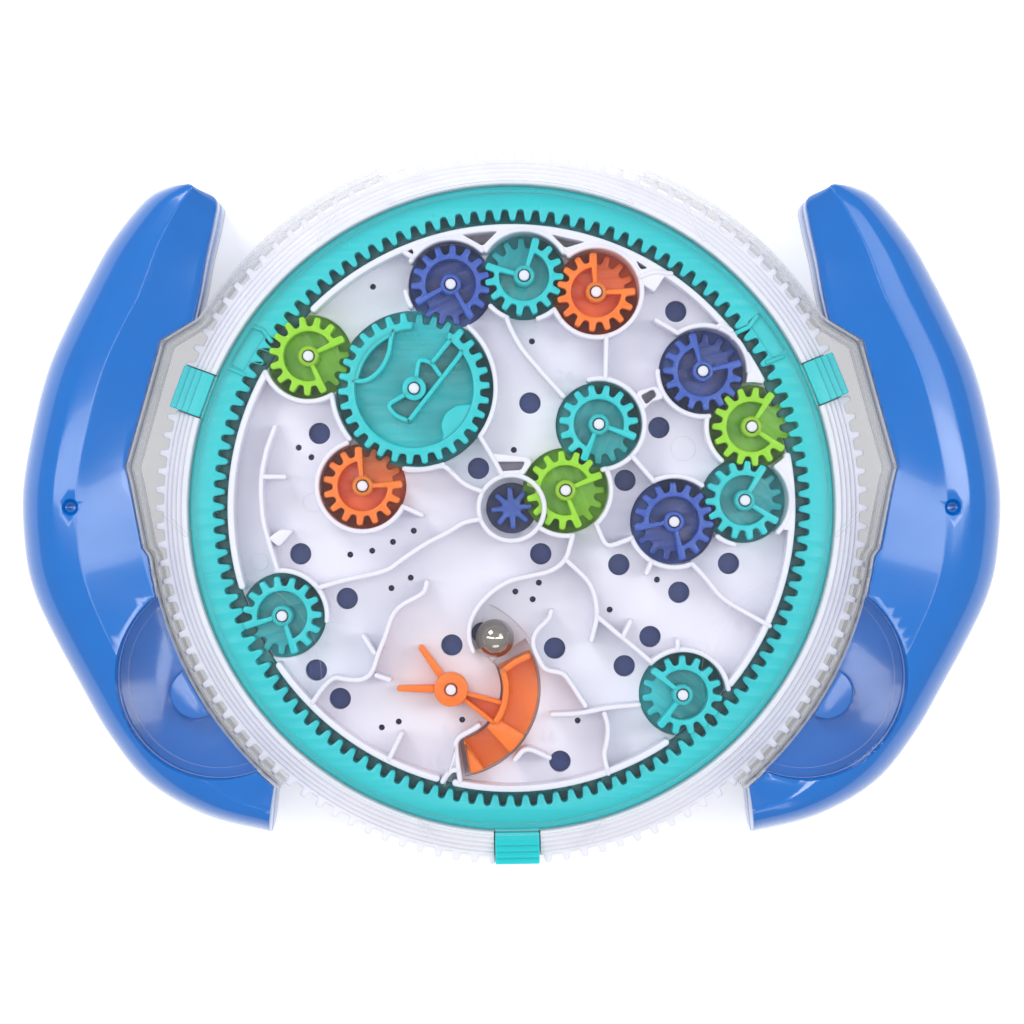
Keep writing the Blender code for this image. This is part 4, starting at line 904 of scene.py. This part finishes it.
RIM_START, RIM_END = 92.5, 416.5
corners = [corner for i in range(8, 35) for corner in tooth(2.5 + 12 * i, *BIG)]
rim = softened([polar(17.2, RIM_START)] + corners + [polar(17.2, RIM_END)], TOOTH_ROUNDING)
rim += arc(15.3, RIM_END, RIM_START, 3)
dish = [plate([toothed(30, BIG, 2.5), BORE], GEAR_LOW, WEB_TOP, 0.22),
        plate([rim], STOREY_LOW, GEAR_TOP, 0.32),
        plate([circle(3.1, 40), BORE], STOREY_LOW, GEAR_TOP + 0.2, 0.32)]
dish += [big_rib([(-1.4, -8.4), (11.7, 8.4), polar(15.6, 38)]),
         big_rib([(-2.0, -1.4), (-7.0, -4.3), (-4.9, -7.0), (-1.4, -8.4)]),
         big_rib([(0.4, 2.2), (1.2, 7.6), (4.4, 6.8), (6.6, 3.6)]),
         big_rib([(4.6, 6.6), polar(15.6, 53)]),
         big_rib([polar(15.7, 173), (-11.9, 1.9), (-8.4, 4.9), (-6.4, 9.1), (-6.0, 13.0),
                  polar(15.8, 110)], reach=2.4),
         big_rib(arc(15.1, 114, 170, 6))]
pad = [(15.2, -4.0), (11.0, -4.3), (8.0, -6.4), (6.8, -9.3), (7.6, -12.4)] + arc(15.6, -64, -16, 6)
dish.append(plate([softened(pad[::-1], 1.2)], STOREY_LOW, GEAR_TOP - 1.0, 0.4))
dish = placed(joined(dish), BIG_CENTRE)
settle(dish, "big_gear_moulded", "big_gear", turquoise_abs, "turquoise", "big_gear")

# %% [markdown]
# ## The ring gear
#
# The ring has a hundred and twenty teeth inside and a raised lip outside. Two sunk faces
# between a curved rib and a straight one save plastic. Three stepped tabs reach out over
# the wheel and key the two together, so that they turn as one.

# %% Ring gear
RING_TEETH = 120
RING_TIP, RING_ROOT, RING_RADIUS = 74.175, 77.1, 83.0
RING_LOW, RING_TOP, LIP_TOP = 9.8, 20.3, 21.0
FIRST_GAP = 1.3
TAB_ANGLES = (22.4, 159.9, 271.0)
SUNK_RANGES = ((29.9, 38.2), (144.9, 152.9))
RING_RIB_PIXELS = (((250, 325), (263, 330), (271, 341)), ((227, 367), (244, 374.5)),
                   ((757, 316), (749, 327), (736, 333)), ((783, 356.5), (767, 362.5)))


def inner_teeth():
    """The outline inside the ring: each gap between two teeth is a rounded notch."""
    corners = []
    for i in range(RING_TEETH):
        middle = FIRST_GAP + 360 / RING_TEETH * i
        half_tip, half_root = math.degrees(1.3 / RING_TIP), math.degrees(0.75 / RING_ROOT)
        corners += [polar(RING_TIP, middle - half_tip), polar(RING_ROOT, middle - half_root),
                    polar(RING_ROOT, middle + half_root), polar(RING_TIP, middle + half_tip)]
    return softened(corners, 0.7, steps=3)


def box(left, right, half_width):
    """A rectangle in plan that reaches out along x."""
    return [(left, -half_width), (right, -half_width), (right, half_width), (left, half_width)]


sunk = [softened(sector(77.5, 81.3, start, end, 1), 0.5, steps=2) for start, end in SUNK_RANGES]
ring = [plate([circle(RING_RADIUS, 240), inner_teeth()] + sunk, RING_LOW + 0.02, RING_TOP, 0.28),
        washer(RING_RADIUS, RING_RADIUS - 1.5, RING_LOW, LIP_TOP, 0.4, 3),
        washer(77.8, 73.4, RING_LOW, RING_LOW + 0.5, 0.1, 1)]
for start, end in SUNK_RANGES:
    floor = sector(77.1, 81.8, start - 0.4, end + 0.4, 1)
    ring.append(plate([floor], RING_LOW + 0.3, RING_TOP - 0.6, 0.1))
for pixels in RING_RIB_PIXELS:
    line = [from_photo(pixel) for pixel in pixels]
    ring.append(plate([ribbon(line, 1.1)], RING_LOW + 0.5, RING_TOP + 0.35, 0.3))
for degrees in TAB_ANGLES:
    for step in range(4):
        tab = box(82.6 if step == 0 else 83.4, 91.8 - 1.7 * step, 5.7)
        ring.append(placed(plate([softened(tab, 0.5)], 17.0, 21.4 + 0.8 * step, 0.3), degrees=degrees))
settle(joined(ring), "ring_gear_moulded", "wheel", turquoise_abs, "turquoise", "ring_gear")

# %% [markdown]
# ## The frosted wheel
#
# The wheel is turned with the fingers where it shows at the top and bottom. Its section is
# one profile spun about the axis: a tall inner wall and four shallow ridges down to the
# rim. Two storeys of teeth stand below, with a groove between them, for grip.

# %% Wheel
def spun(profile, steps=240):
    """A closed profile of radius and height pairs, spun about the upright axis."""
    bm = bmesh.new()
    ring = [bm.verts.new((radius, 0, height)) for radius, height in profile]
    edges = [bm.edges.new((ring[i - 1], ring[i])) for i in range(len(ring))]
    bmesh.ops.spin(bm, geom=ring + edges, cent=(0, 0, 0), axis=(0, 0, 1), angle=math.tau,
                   steps=steps, use_merge=True)
    bmesh.ops.remove_doubles(bm, verts=bm.verts, dist=DOUBLES)
    bmesh.ops.recalc_face_normals(bm, faces=bm.faces)
    return bm


profile = [(83.35, 8.0), (83.35, 23.5), (83.6, 23.8), (84.7, 23.8)]
for ridge in range(4):
    radius, height = 85.0 + 1.25 * ridge, 23.7 - 1.0 * ridge
    profile += [(radius + 0.15, height - 0.75), (radius + 0.35, height - 0.92),
                (radius + 0.95, height - 0.95), (radius + 1.1, height - 1.0)]
profile += [(90.0, 19.5), (90.0, 8.0), (89.8, 7.8), (83.6, 7.8)]
wheel = [spun(profile)]
for low, high in ((7.9, 12.9), (14.2, 19.8)):
    grip = toothed(120, (92.0, 89.9, 1.5, 2.0), 90.0)
    wheel.append(plate([grip, circle(88.9, 120)], low, high, 0.3))
tab_room = [placed(plate([box(82, 95, 6.0)], 16.7, 30, 0.1), degrees=degrees) for degrees in TAB_ANGLES]
wheel = carved(joined(wheel), tab_room, 0)
settle(wheel, "drive_wheel_moulded", "wheel", frosted_polypropylene, "frosted_wheel", "drive_wheel")

# %% [markdown]
# ## Rear disc and star
#
# A dark blue disc closes the wheel from behind, and is what shows through every hole of
# the maze. The star pinion in the middle is moulded with it. It turns the lime gear beside
# the well, and that one turns the teal gear above it.

# %% Rear disc
disc = spun([(0.001, 7.5), (82.6, 7.5), (82.95, 7.8), (82.95, 9.2), (82.6, 9.5), (0.001, 9.5)], 180)
settle(disc, "rear_disc_moulded", "wheel", disc_abs, "dark_blue_disc", "rear_disc")
corners = [corner for i in range(8) for corner in tooth(5.5 + 45 * i, 5.45, 2.6, 1.35, 1.6)]
star = [plate([softened(corners, 0.5)], 9.2, 16.0, 0.35, 3), drum(0.9, 15.8, 16.3, sides=24)]
settle(joined(star), "star_pinion_moulded", "wheel", navy_abs, "navy")

# %% [markdown]
# ## The lever
#
# The orange lever turns on its own post. Two arms reach left, and a basket on the right
# holds the ball: an open compartment above, a solid bar across the middle and a second
# compartment below. Two ribs and a low web between them join it to the hub.

# %% Lever
HUB_LOW, LEVER_TOP = 14.3, 22.0
LEVER_BAR = LEVER_TOP - 1.5
BASKET_LOW = 12.4


def lever_rib(points, width, high, end_width=None):
    """An upright part of the lever along a line, seen from its pivot."""
    return plate([ribbon(points, width, end_width)], HUB_LOW, high, 0.35)


lever = [plate([circle(4.4, 64), BORE], HUB_LOW, LEVER_TOP, 0.4, 3)]
lever += [lever_rib([(0, 0), polar(13.2, turn)], 2.3, LEVER_BAR, 1.5) for turn in (125.6, 179)]
lever += [lever_rib([polar(3, turn), polar(14, turn)], 1.1, LEVER_TOP - 1.2) for turn in (-38, -15)]
lever += [plate([[polar(2, -26)] + arc(13.9, -38, -15, 4)], HUB_LOW, HUB_LOW + 1.5, 0.1),
          plate([softened(sector(13.5, 22.5, -76.5, 26.5), 0.6)], 12.1, 13.6, 0.2)]
# The wall starts at the bar's edge, follows the inside up and folds round the far end.
fold = [polar(14.5, 20), polar(18.0, 23.2), polar(21.6, 23.4)]
for line, top in ((arc(14.2, -34, 20, 4), LEVER_TOP), (fold, LEVER_TOP - 0.03)):
    lever.append(plate([ribbon(line, 1.6)], BASKET_LOW, top, 0.45, 3))
for outline in (sector(13.4, 22.4, -47, -32), arc(22.4, -77, -67.5, 3) + [polar(13.4, -76)]):
    lever.append(plate([softened(outline, 0.7)], BASKET_LOW, LEVER_BAR, 0.4, 3))
settle(placed(joined(lever), LEVER_PIVOT), "lever_moulded", "lever", orange_abs, "orange", "lever")

# %% [markdown]
# ## The ball
#
# A 10 mm bearing ball. An icosphere spreads its faces evenly, so no pole shows in the
# mirror finish.

# %% Ball
BALL_RADIUS = 5.0
BALL_PLACE = (-4.28, -33.62, 19.3)
ball = bmesh.new()
bmesh.ops.create_icosphere(ball, subdivisions=5, radius=BALL_RADIUS)
bmesh.ops.translate(ball, vec=BALL_PLACE, verts=ball.verts)
settle(ball, "steel_ball_lapped", "ball", ball_steel, "steel", "steel_ball")

# %% [markdown]
# ## The clear front cover
#
# The cover is a flat clear disc with a wing on each side that runs under the handle. The
# wings' upright edges catch the light, and so do the ribs on each, the round lobes at the
# lower corners and the bearing rib round the rim. Those edges are what makes a clear part
# visible at all. A Boolean joins everything into one solid, because light would be lost at
# each face left inside it.

# %% Wing outline
COVER_RADIUS = 84.0
# The wing's outer line is an arc of this radius and range. It starts well inside the disc.
WING, WING_INNER = 93.7, 80
WING_START, WING_END = 112, 230
LOBE = (-74.7, -43.1)
LOBE_RADIUS = 26.0
SHEET_EDGE = 0.05


def wing_line(shrink=0.0):
    """The outer line of the left wing, from its upper end to its lower one."""
    shoulder = [(-80.4, 48.5), (-89.7, 42.8), (-97.7, 14.2), (-98.7, 10.6), (-97.7, 6.7),
                (-94.4, -10.3)]
    moved = []
    for x, y in shoulder:
        away = math.hypot(x, y)
        moved.append((x * (1 - shrink / away), y * (1 - shrink / away)))
    return arc(WING - shrink, WING_START, 146) + moved + arc(WING - shrink, 187.5, WING_END)


def wing(low, high):
    """The flat of the left wing, in from its outer line to well inside the disc."""
    outline = wing_line() + arc(WING_INNER, WING_END, WING_START)
    return plate([outline], low, high, SHEET_EDGE, 1)


def skirt(low, high):
    """The upright edge of the left wing."""
    return plate([ribbon(softened(wing_line(0.8), 1.2, closed=False), 1.6)], low, high, 0.1)


def cover(low, high, parts):
    """A clear disc joined to a few parts."""
    disc = plate([circle(COVER_RADIUS, 240)], low, high, SHEET_EDGE, 1)
    return carved(disc, parts, 0.25, "UNION")


COVER_LOW, COVER_TOP = 24.6, 26.6
COVER_RIB_PIXELS = (((145, 492), (188, 535)), ((320, 241), (352, 186)), ((352, 186), (415, 166)),
                    ((420, 820), (435, 840)))
half = [wing(COVER_LOW, COVER_TOP),
        plate([circle(LOBE_RADIUS, 120, LOBE)], COVER_LOW, COVER_TOP, SHEET_EDGE, 1),
        washer(LOBE_RADIUS, 23.4, 24.7, 27.4, SHEET_EDGE, 1, 120, LOBE), skirt(15.45, 26.5)]
for pixels in COVER_RIB_PIXELS:
    half.append(plate([ribbon([from_photo(pixel) for pixel in pixels], 1.0)], 24.0, 27.0, 0.2))
rim = washer(RING_RADIUS, 81.3, 21.3, 25.0, 0.1, 1)
front_cover = cover(COVER_LOW, COVER_TOP, [rim] + both_sides(half))
settle(front_cover, "front_cover_moulded", "frame", clear_styrene, "clear_cover", "front_cover")

# %% [markdown]
# ## The clear rear cover
#
# The back is a clear disc with the same wings. The dark disc turns on a low rib moulded
# round it. It is seen only from behind, where the blue disc shows through it.

# %% Rear cover
REAR_LOW, REAR_TOP = 4.0, 6.0
rim = washer(77.8, 76.0, 5.8, 7.2, 0.2)
half = [wing(REAR_LOW, REAR_TOP), skirt(4.1, 15.1)]
rear_cover = cover(REAR_LOW, REAR_TOP, [rim] + both_sides(half))
settle(rear_cover, "rear_cover_moulded", "frame", clear_styrene, "clear_cover", "rear_cover")

# %% [markdown]
# ## The handles
#
# Each handle is two glossy shells closed from behind. The front one is a smooth loft: a
# round outer side rises to a ridge that runs from the tip to the middle, and a long facet
# slopes from it to the cover. Sections are strung along smooth curves and bridged, and the
# room for the covers and the round lobe is cut away afterwards.

# %% Handle sections
# Each pair is a point of the outer line and the point of the inner line across from it.
HANDLE_PLAN = (
    ((-83.6, 83.0), (-79.6, 81.4)), ((-88.4, 82.7), (-75.7, 79.0)), ((-94.6, 79.5), (-76.2, 73.5)),
    ((-103.1, 69.1), (-78.3, 64.2)), ((-108.7, 59.3), (-80.2, 54.2)),
    ((-114.9, 47.0), (-83.0, 44.0)), ((-119.6, 36.1), (-88.0, 34.0)),
    ((-123.2, 22.7), (-92.0, 22.0)), ((-126.3, 4.6), (-93.0, 6.0)),
    ((-125.6, -11.9), (-90.0, -10.0)), ((-123.2, -22.2), (-87.0, -20.0)),
    ((-118.6, -32.3), (-83.0, -32.0)), ((-111.8, -44.9), (-77.5, -46.0)),
    ((-104.1, -58.3), (-70.5, -57.0)), ((-94.0, -70.6), (-64.5, -66.5)),
    ((-79.1, -79.2), (-62.3, -69.8)), ((-62.0, -83.6), (-60.8, -71.0)))


def along(points, steps):
    """Points on a smooth curve through the given ones."""
    made = []
    last = len(points) - 1
    for i in range(last):
        before, here, after, beyond = (Vector(points[min(max(i + k, 0), last)]) for k in (-1, 0, 1, 2))
        bend = 2 * before - 5 * here + 4 * after - beyond
        twist = 3 * here - before - 3 * after + beyond
        for k in range(steps):
            t = k / steps
            made.append(0.5 * (2 * here + (after - before) * t + bend * t * t + twist * t ** 3))
    return made + [Vector(points[-1])]


def loft(section):
    """A closed solid through the handle's sections. section gives the profile of a width."""
    bm = bmesh.new()
    rings = []
    for outer, inner in zip(*(along(line, 5) for line in zip(*HANDLE_PLAN))):
        way = inner - outer
        profile = section(way.length)
        way.normalize()
        points = [bm.verts.new((*(outer + way * inset), height)) for inset, height in profile]
        rings.append([bm.edges.new((points[i - 1], points[i])) for i in range(len(points))])
    for first, second in zip(rings, rings[1:]):
        bmesh.ops.bridge_loops(bm, edges=first + second)
    bmesh.ops.holes_fill(bm, edges=[edge for edge in bm.edges if edge.is_boundary], sides=0)
    bmesh.ops.recalc_face_normals(bm, faces=bm.faces)
    return bm


# The shells part at this height, with a gap between them.
SEAM, SEAM_GAP = 17.0, 0.3
FRONT_LOW, REAR_HIGH = SEAM + SEAM_GAP / 2, SEAM - SEAM_GAP / 2
# The outer side turns by this many degrees and rises by this height to the ridge's foot.
SIDE_TURN, SIDE_HEIGHT = 80, 15.8
# One less the cosine of that turn, and its sine, which bring the arc to its full size.
SIDE_COS, SIDE_SIN = 0.826, 0.985
CREST, FACET_START, FACET_DROP = 33.72, 33.64, 6.3


def front_section(width):
    """The front shell: flat below, round outside, a soft ridge, then the inner facet."""
    side, strip = min(11.5, 0.38 * width), min(4.2, 0.14 * width)
    points = []
    for k in range(13):
        turn = math.radians(SIDE_TURN * k / 12)
        points.append((side * (1 - math.cos(turn)) / SIDE_COS,
                       FRONT_LOW + SIDE_HEIGHT * math.sin(turn) / SIDE_SIN))
    crest = side + strip
    points += [(side + 0.5 * strip, 33.35), (crest - 0.3, 33.68), (crest, CREST),
               (crest + 0.3, FACET_START)]
    for k in range(1, 9):
        share = k / 8
        points.append((crest + 0.3 + (width - crest - 0.6) * share, FACET_START - FACET_DROP * share))
    return points + [(width, 26.9), (width, FRONT_LOW)]


def rear_section(width):
    """The rear shell: a rounded outer side down to the flat that it rests on."""
    points = [(width, REAR_HIGH), (width, 0.4), (width - 0.4, 0.0)]
    for k in range(11):
        turn = math.radians(90 * k / 10)
        points.append((5.2 * (1 - math.sin(turn)), 12.5 * (1 - math.cos(turn))))
    return points + [(0.0, REAR_HIGH)]


print("handle sections:", len(HANDLE_PLAN))

# %% Handle shells
SCREWS = ((-95.0, 58.0), (-111.0, -14.0), (-77.0, -74.0))
DIMPLE = (-112.4, 0.2)
BOSS = (-81.1, -47.5)
# The cutters run from below the handles to above them, and leave the covers this gap.
UNDER, OVER, ROOM = -5, 44, 0.3


def wing_room():
    """The room that the covers' wing takes out of a handle."""
    outline = wing_line(-ROOM) + arc(WING_INNER - ROOM, WING_END, WING_START, 6)
    return plate([outline], UNDER, OVER, SHEET_EDGE, 1)


front_cuts = [wing_room(), drum(LOBE_RADIUS + ROOM, 18.5, OVER, LOBE, 120),
              drum(1.3, 31.2, OVER, DIMPLE, 32, 6.5), drum(0.8, 30.4, OVER, DIMPLE, 24)]
facing = math.degrees(math.atan2(BOSS[1], BOSS[0]))
boss = softened(arc(6.7, facing - 90, facing + 90, 5, BOSS), 0.9)
front = joined([carved(loft(front_section), front_cuts, 0.3), plate([boss], 18.2, 24.3, 0.6, 3)])
rear_cuts = [wing_room()] + [drum(3.1, UNDER, 3.3, place, 40) for place in SCREWS]
rear = carved(loft(rear_section), rear_cuts, 0.3)
for side, halves in (("left", (front, rear)), ("right", (mirrored(front), mirrored(rear)))):
    for half, bm in zip(("front", "rear"), halves):
        node = f"handle_{side}_{half}"
        settle(bm, node + "_shell", "frame", handle_abs, "blue_handle", node)

# %% [markdown]
# ## The screws
#
# Three small screws close each handle from behind, sunk in round recesses. Each has a
# domed head with a cross cut into it.

# %% Screws
HEAD_LOW, HEAD_TOP, SHANK_TOP = 0.8, 3.0, 24.8


def screw():
    """A pan-head screw with a cross recess, head down, at the origin."""
    head = rounded_end(drum(2.8, HEAD_LOW, HEAD_TOP, sides=40), HEAD_LOW, 0.9, 4)
    slots = [placed(plate([box(-1.6, 1.6, 0.35)], -1.0, 1.9, 0.05, 1), degrees=turn)
             for turn in (20, 110)]
    return joined([carved(head, slots, 0.08), drum(1.3, HEAD_TOP - 0.2, SHANK_TOP, sides=24)])


for side, way in (("left", 1), ("right", -1)):
    for level, (x, y) in zip(("top", "middle", "low"), SCREWS):
        node = f"handle_screw_{side}_{level}"
        settle(placed(screw(), (way * x, y)), node + "_driven", "frame", screw_zinc, "zinc_screw", node)
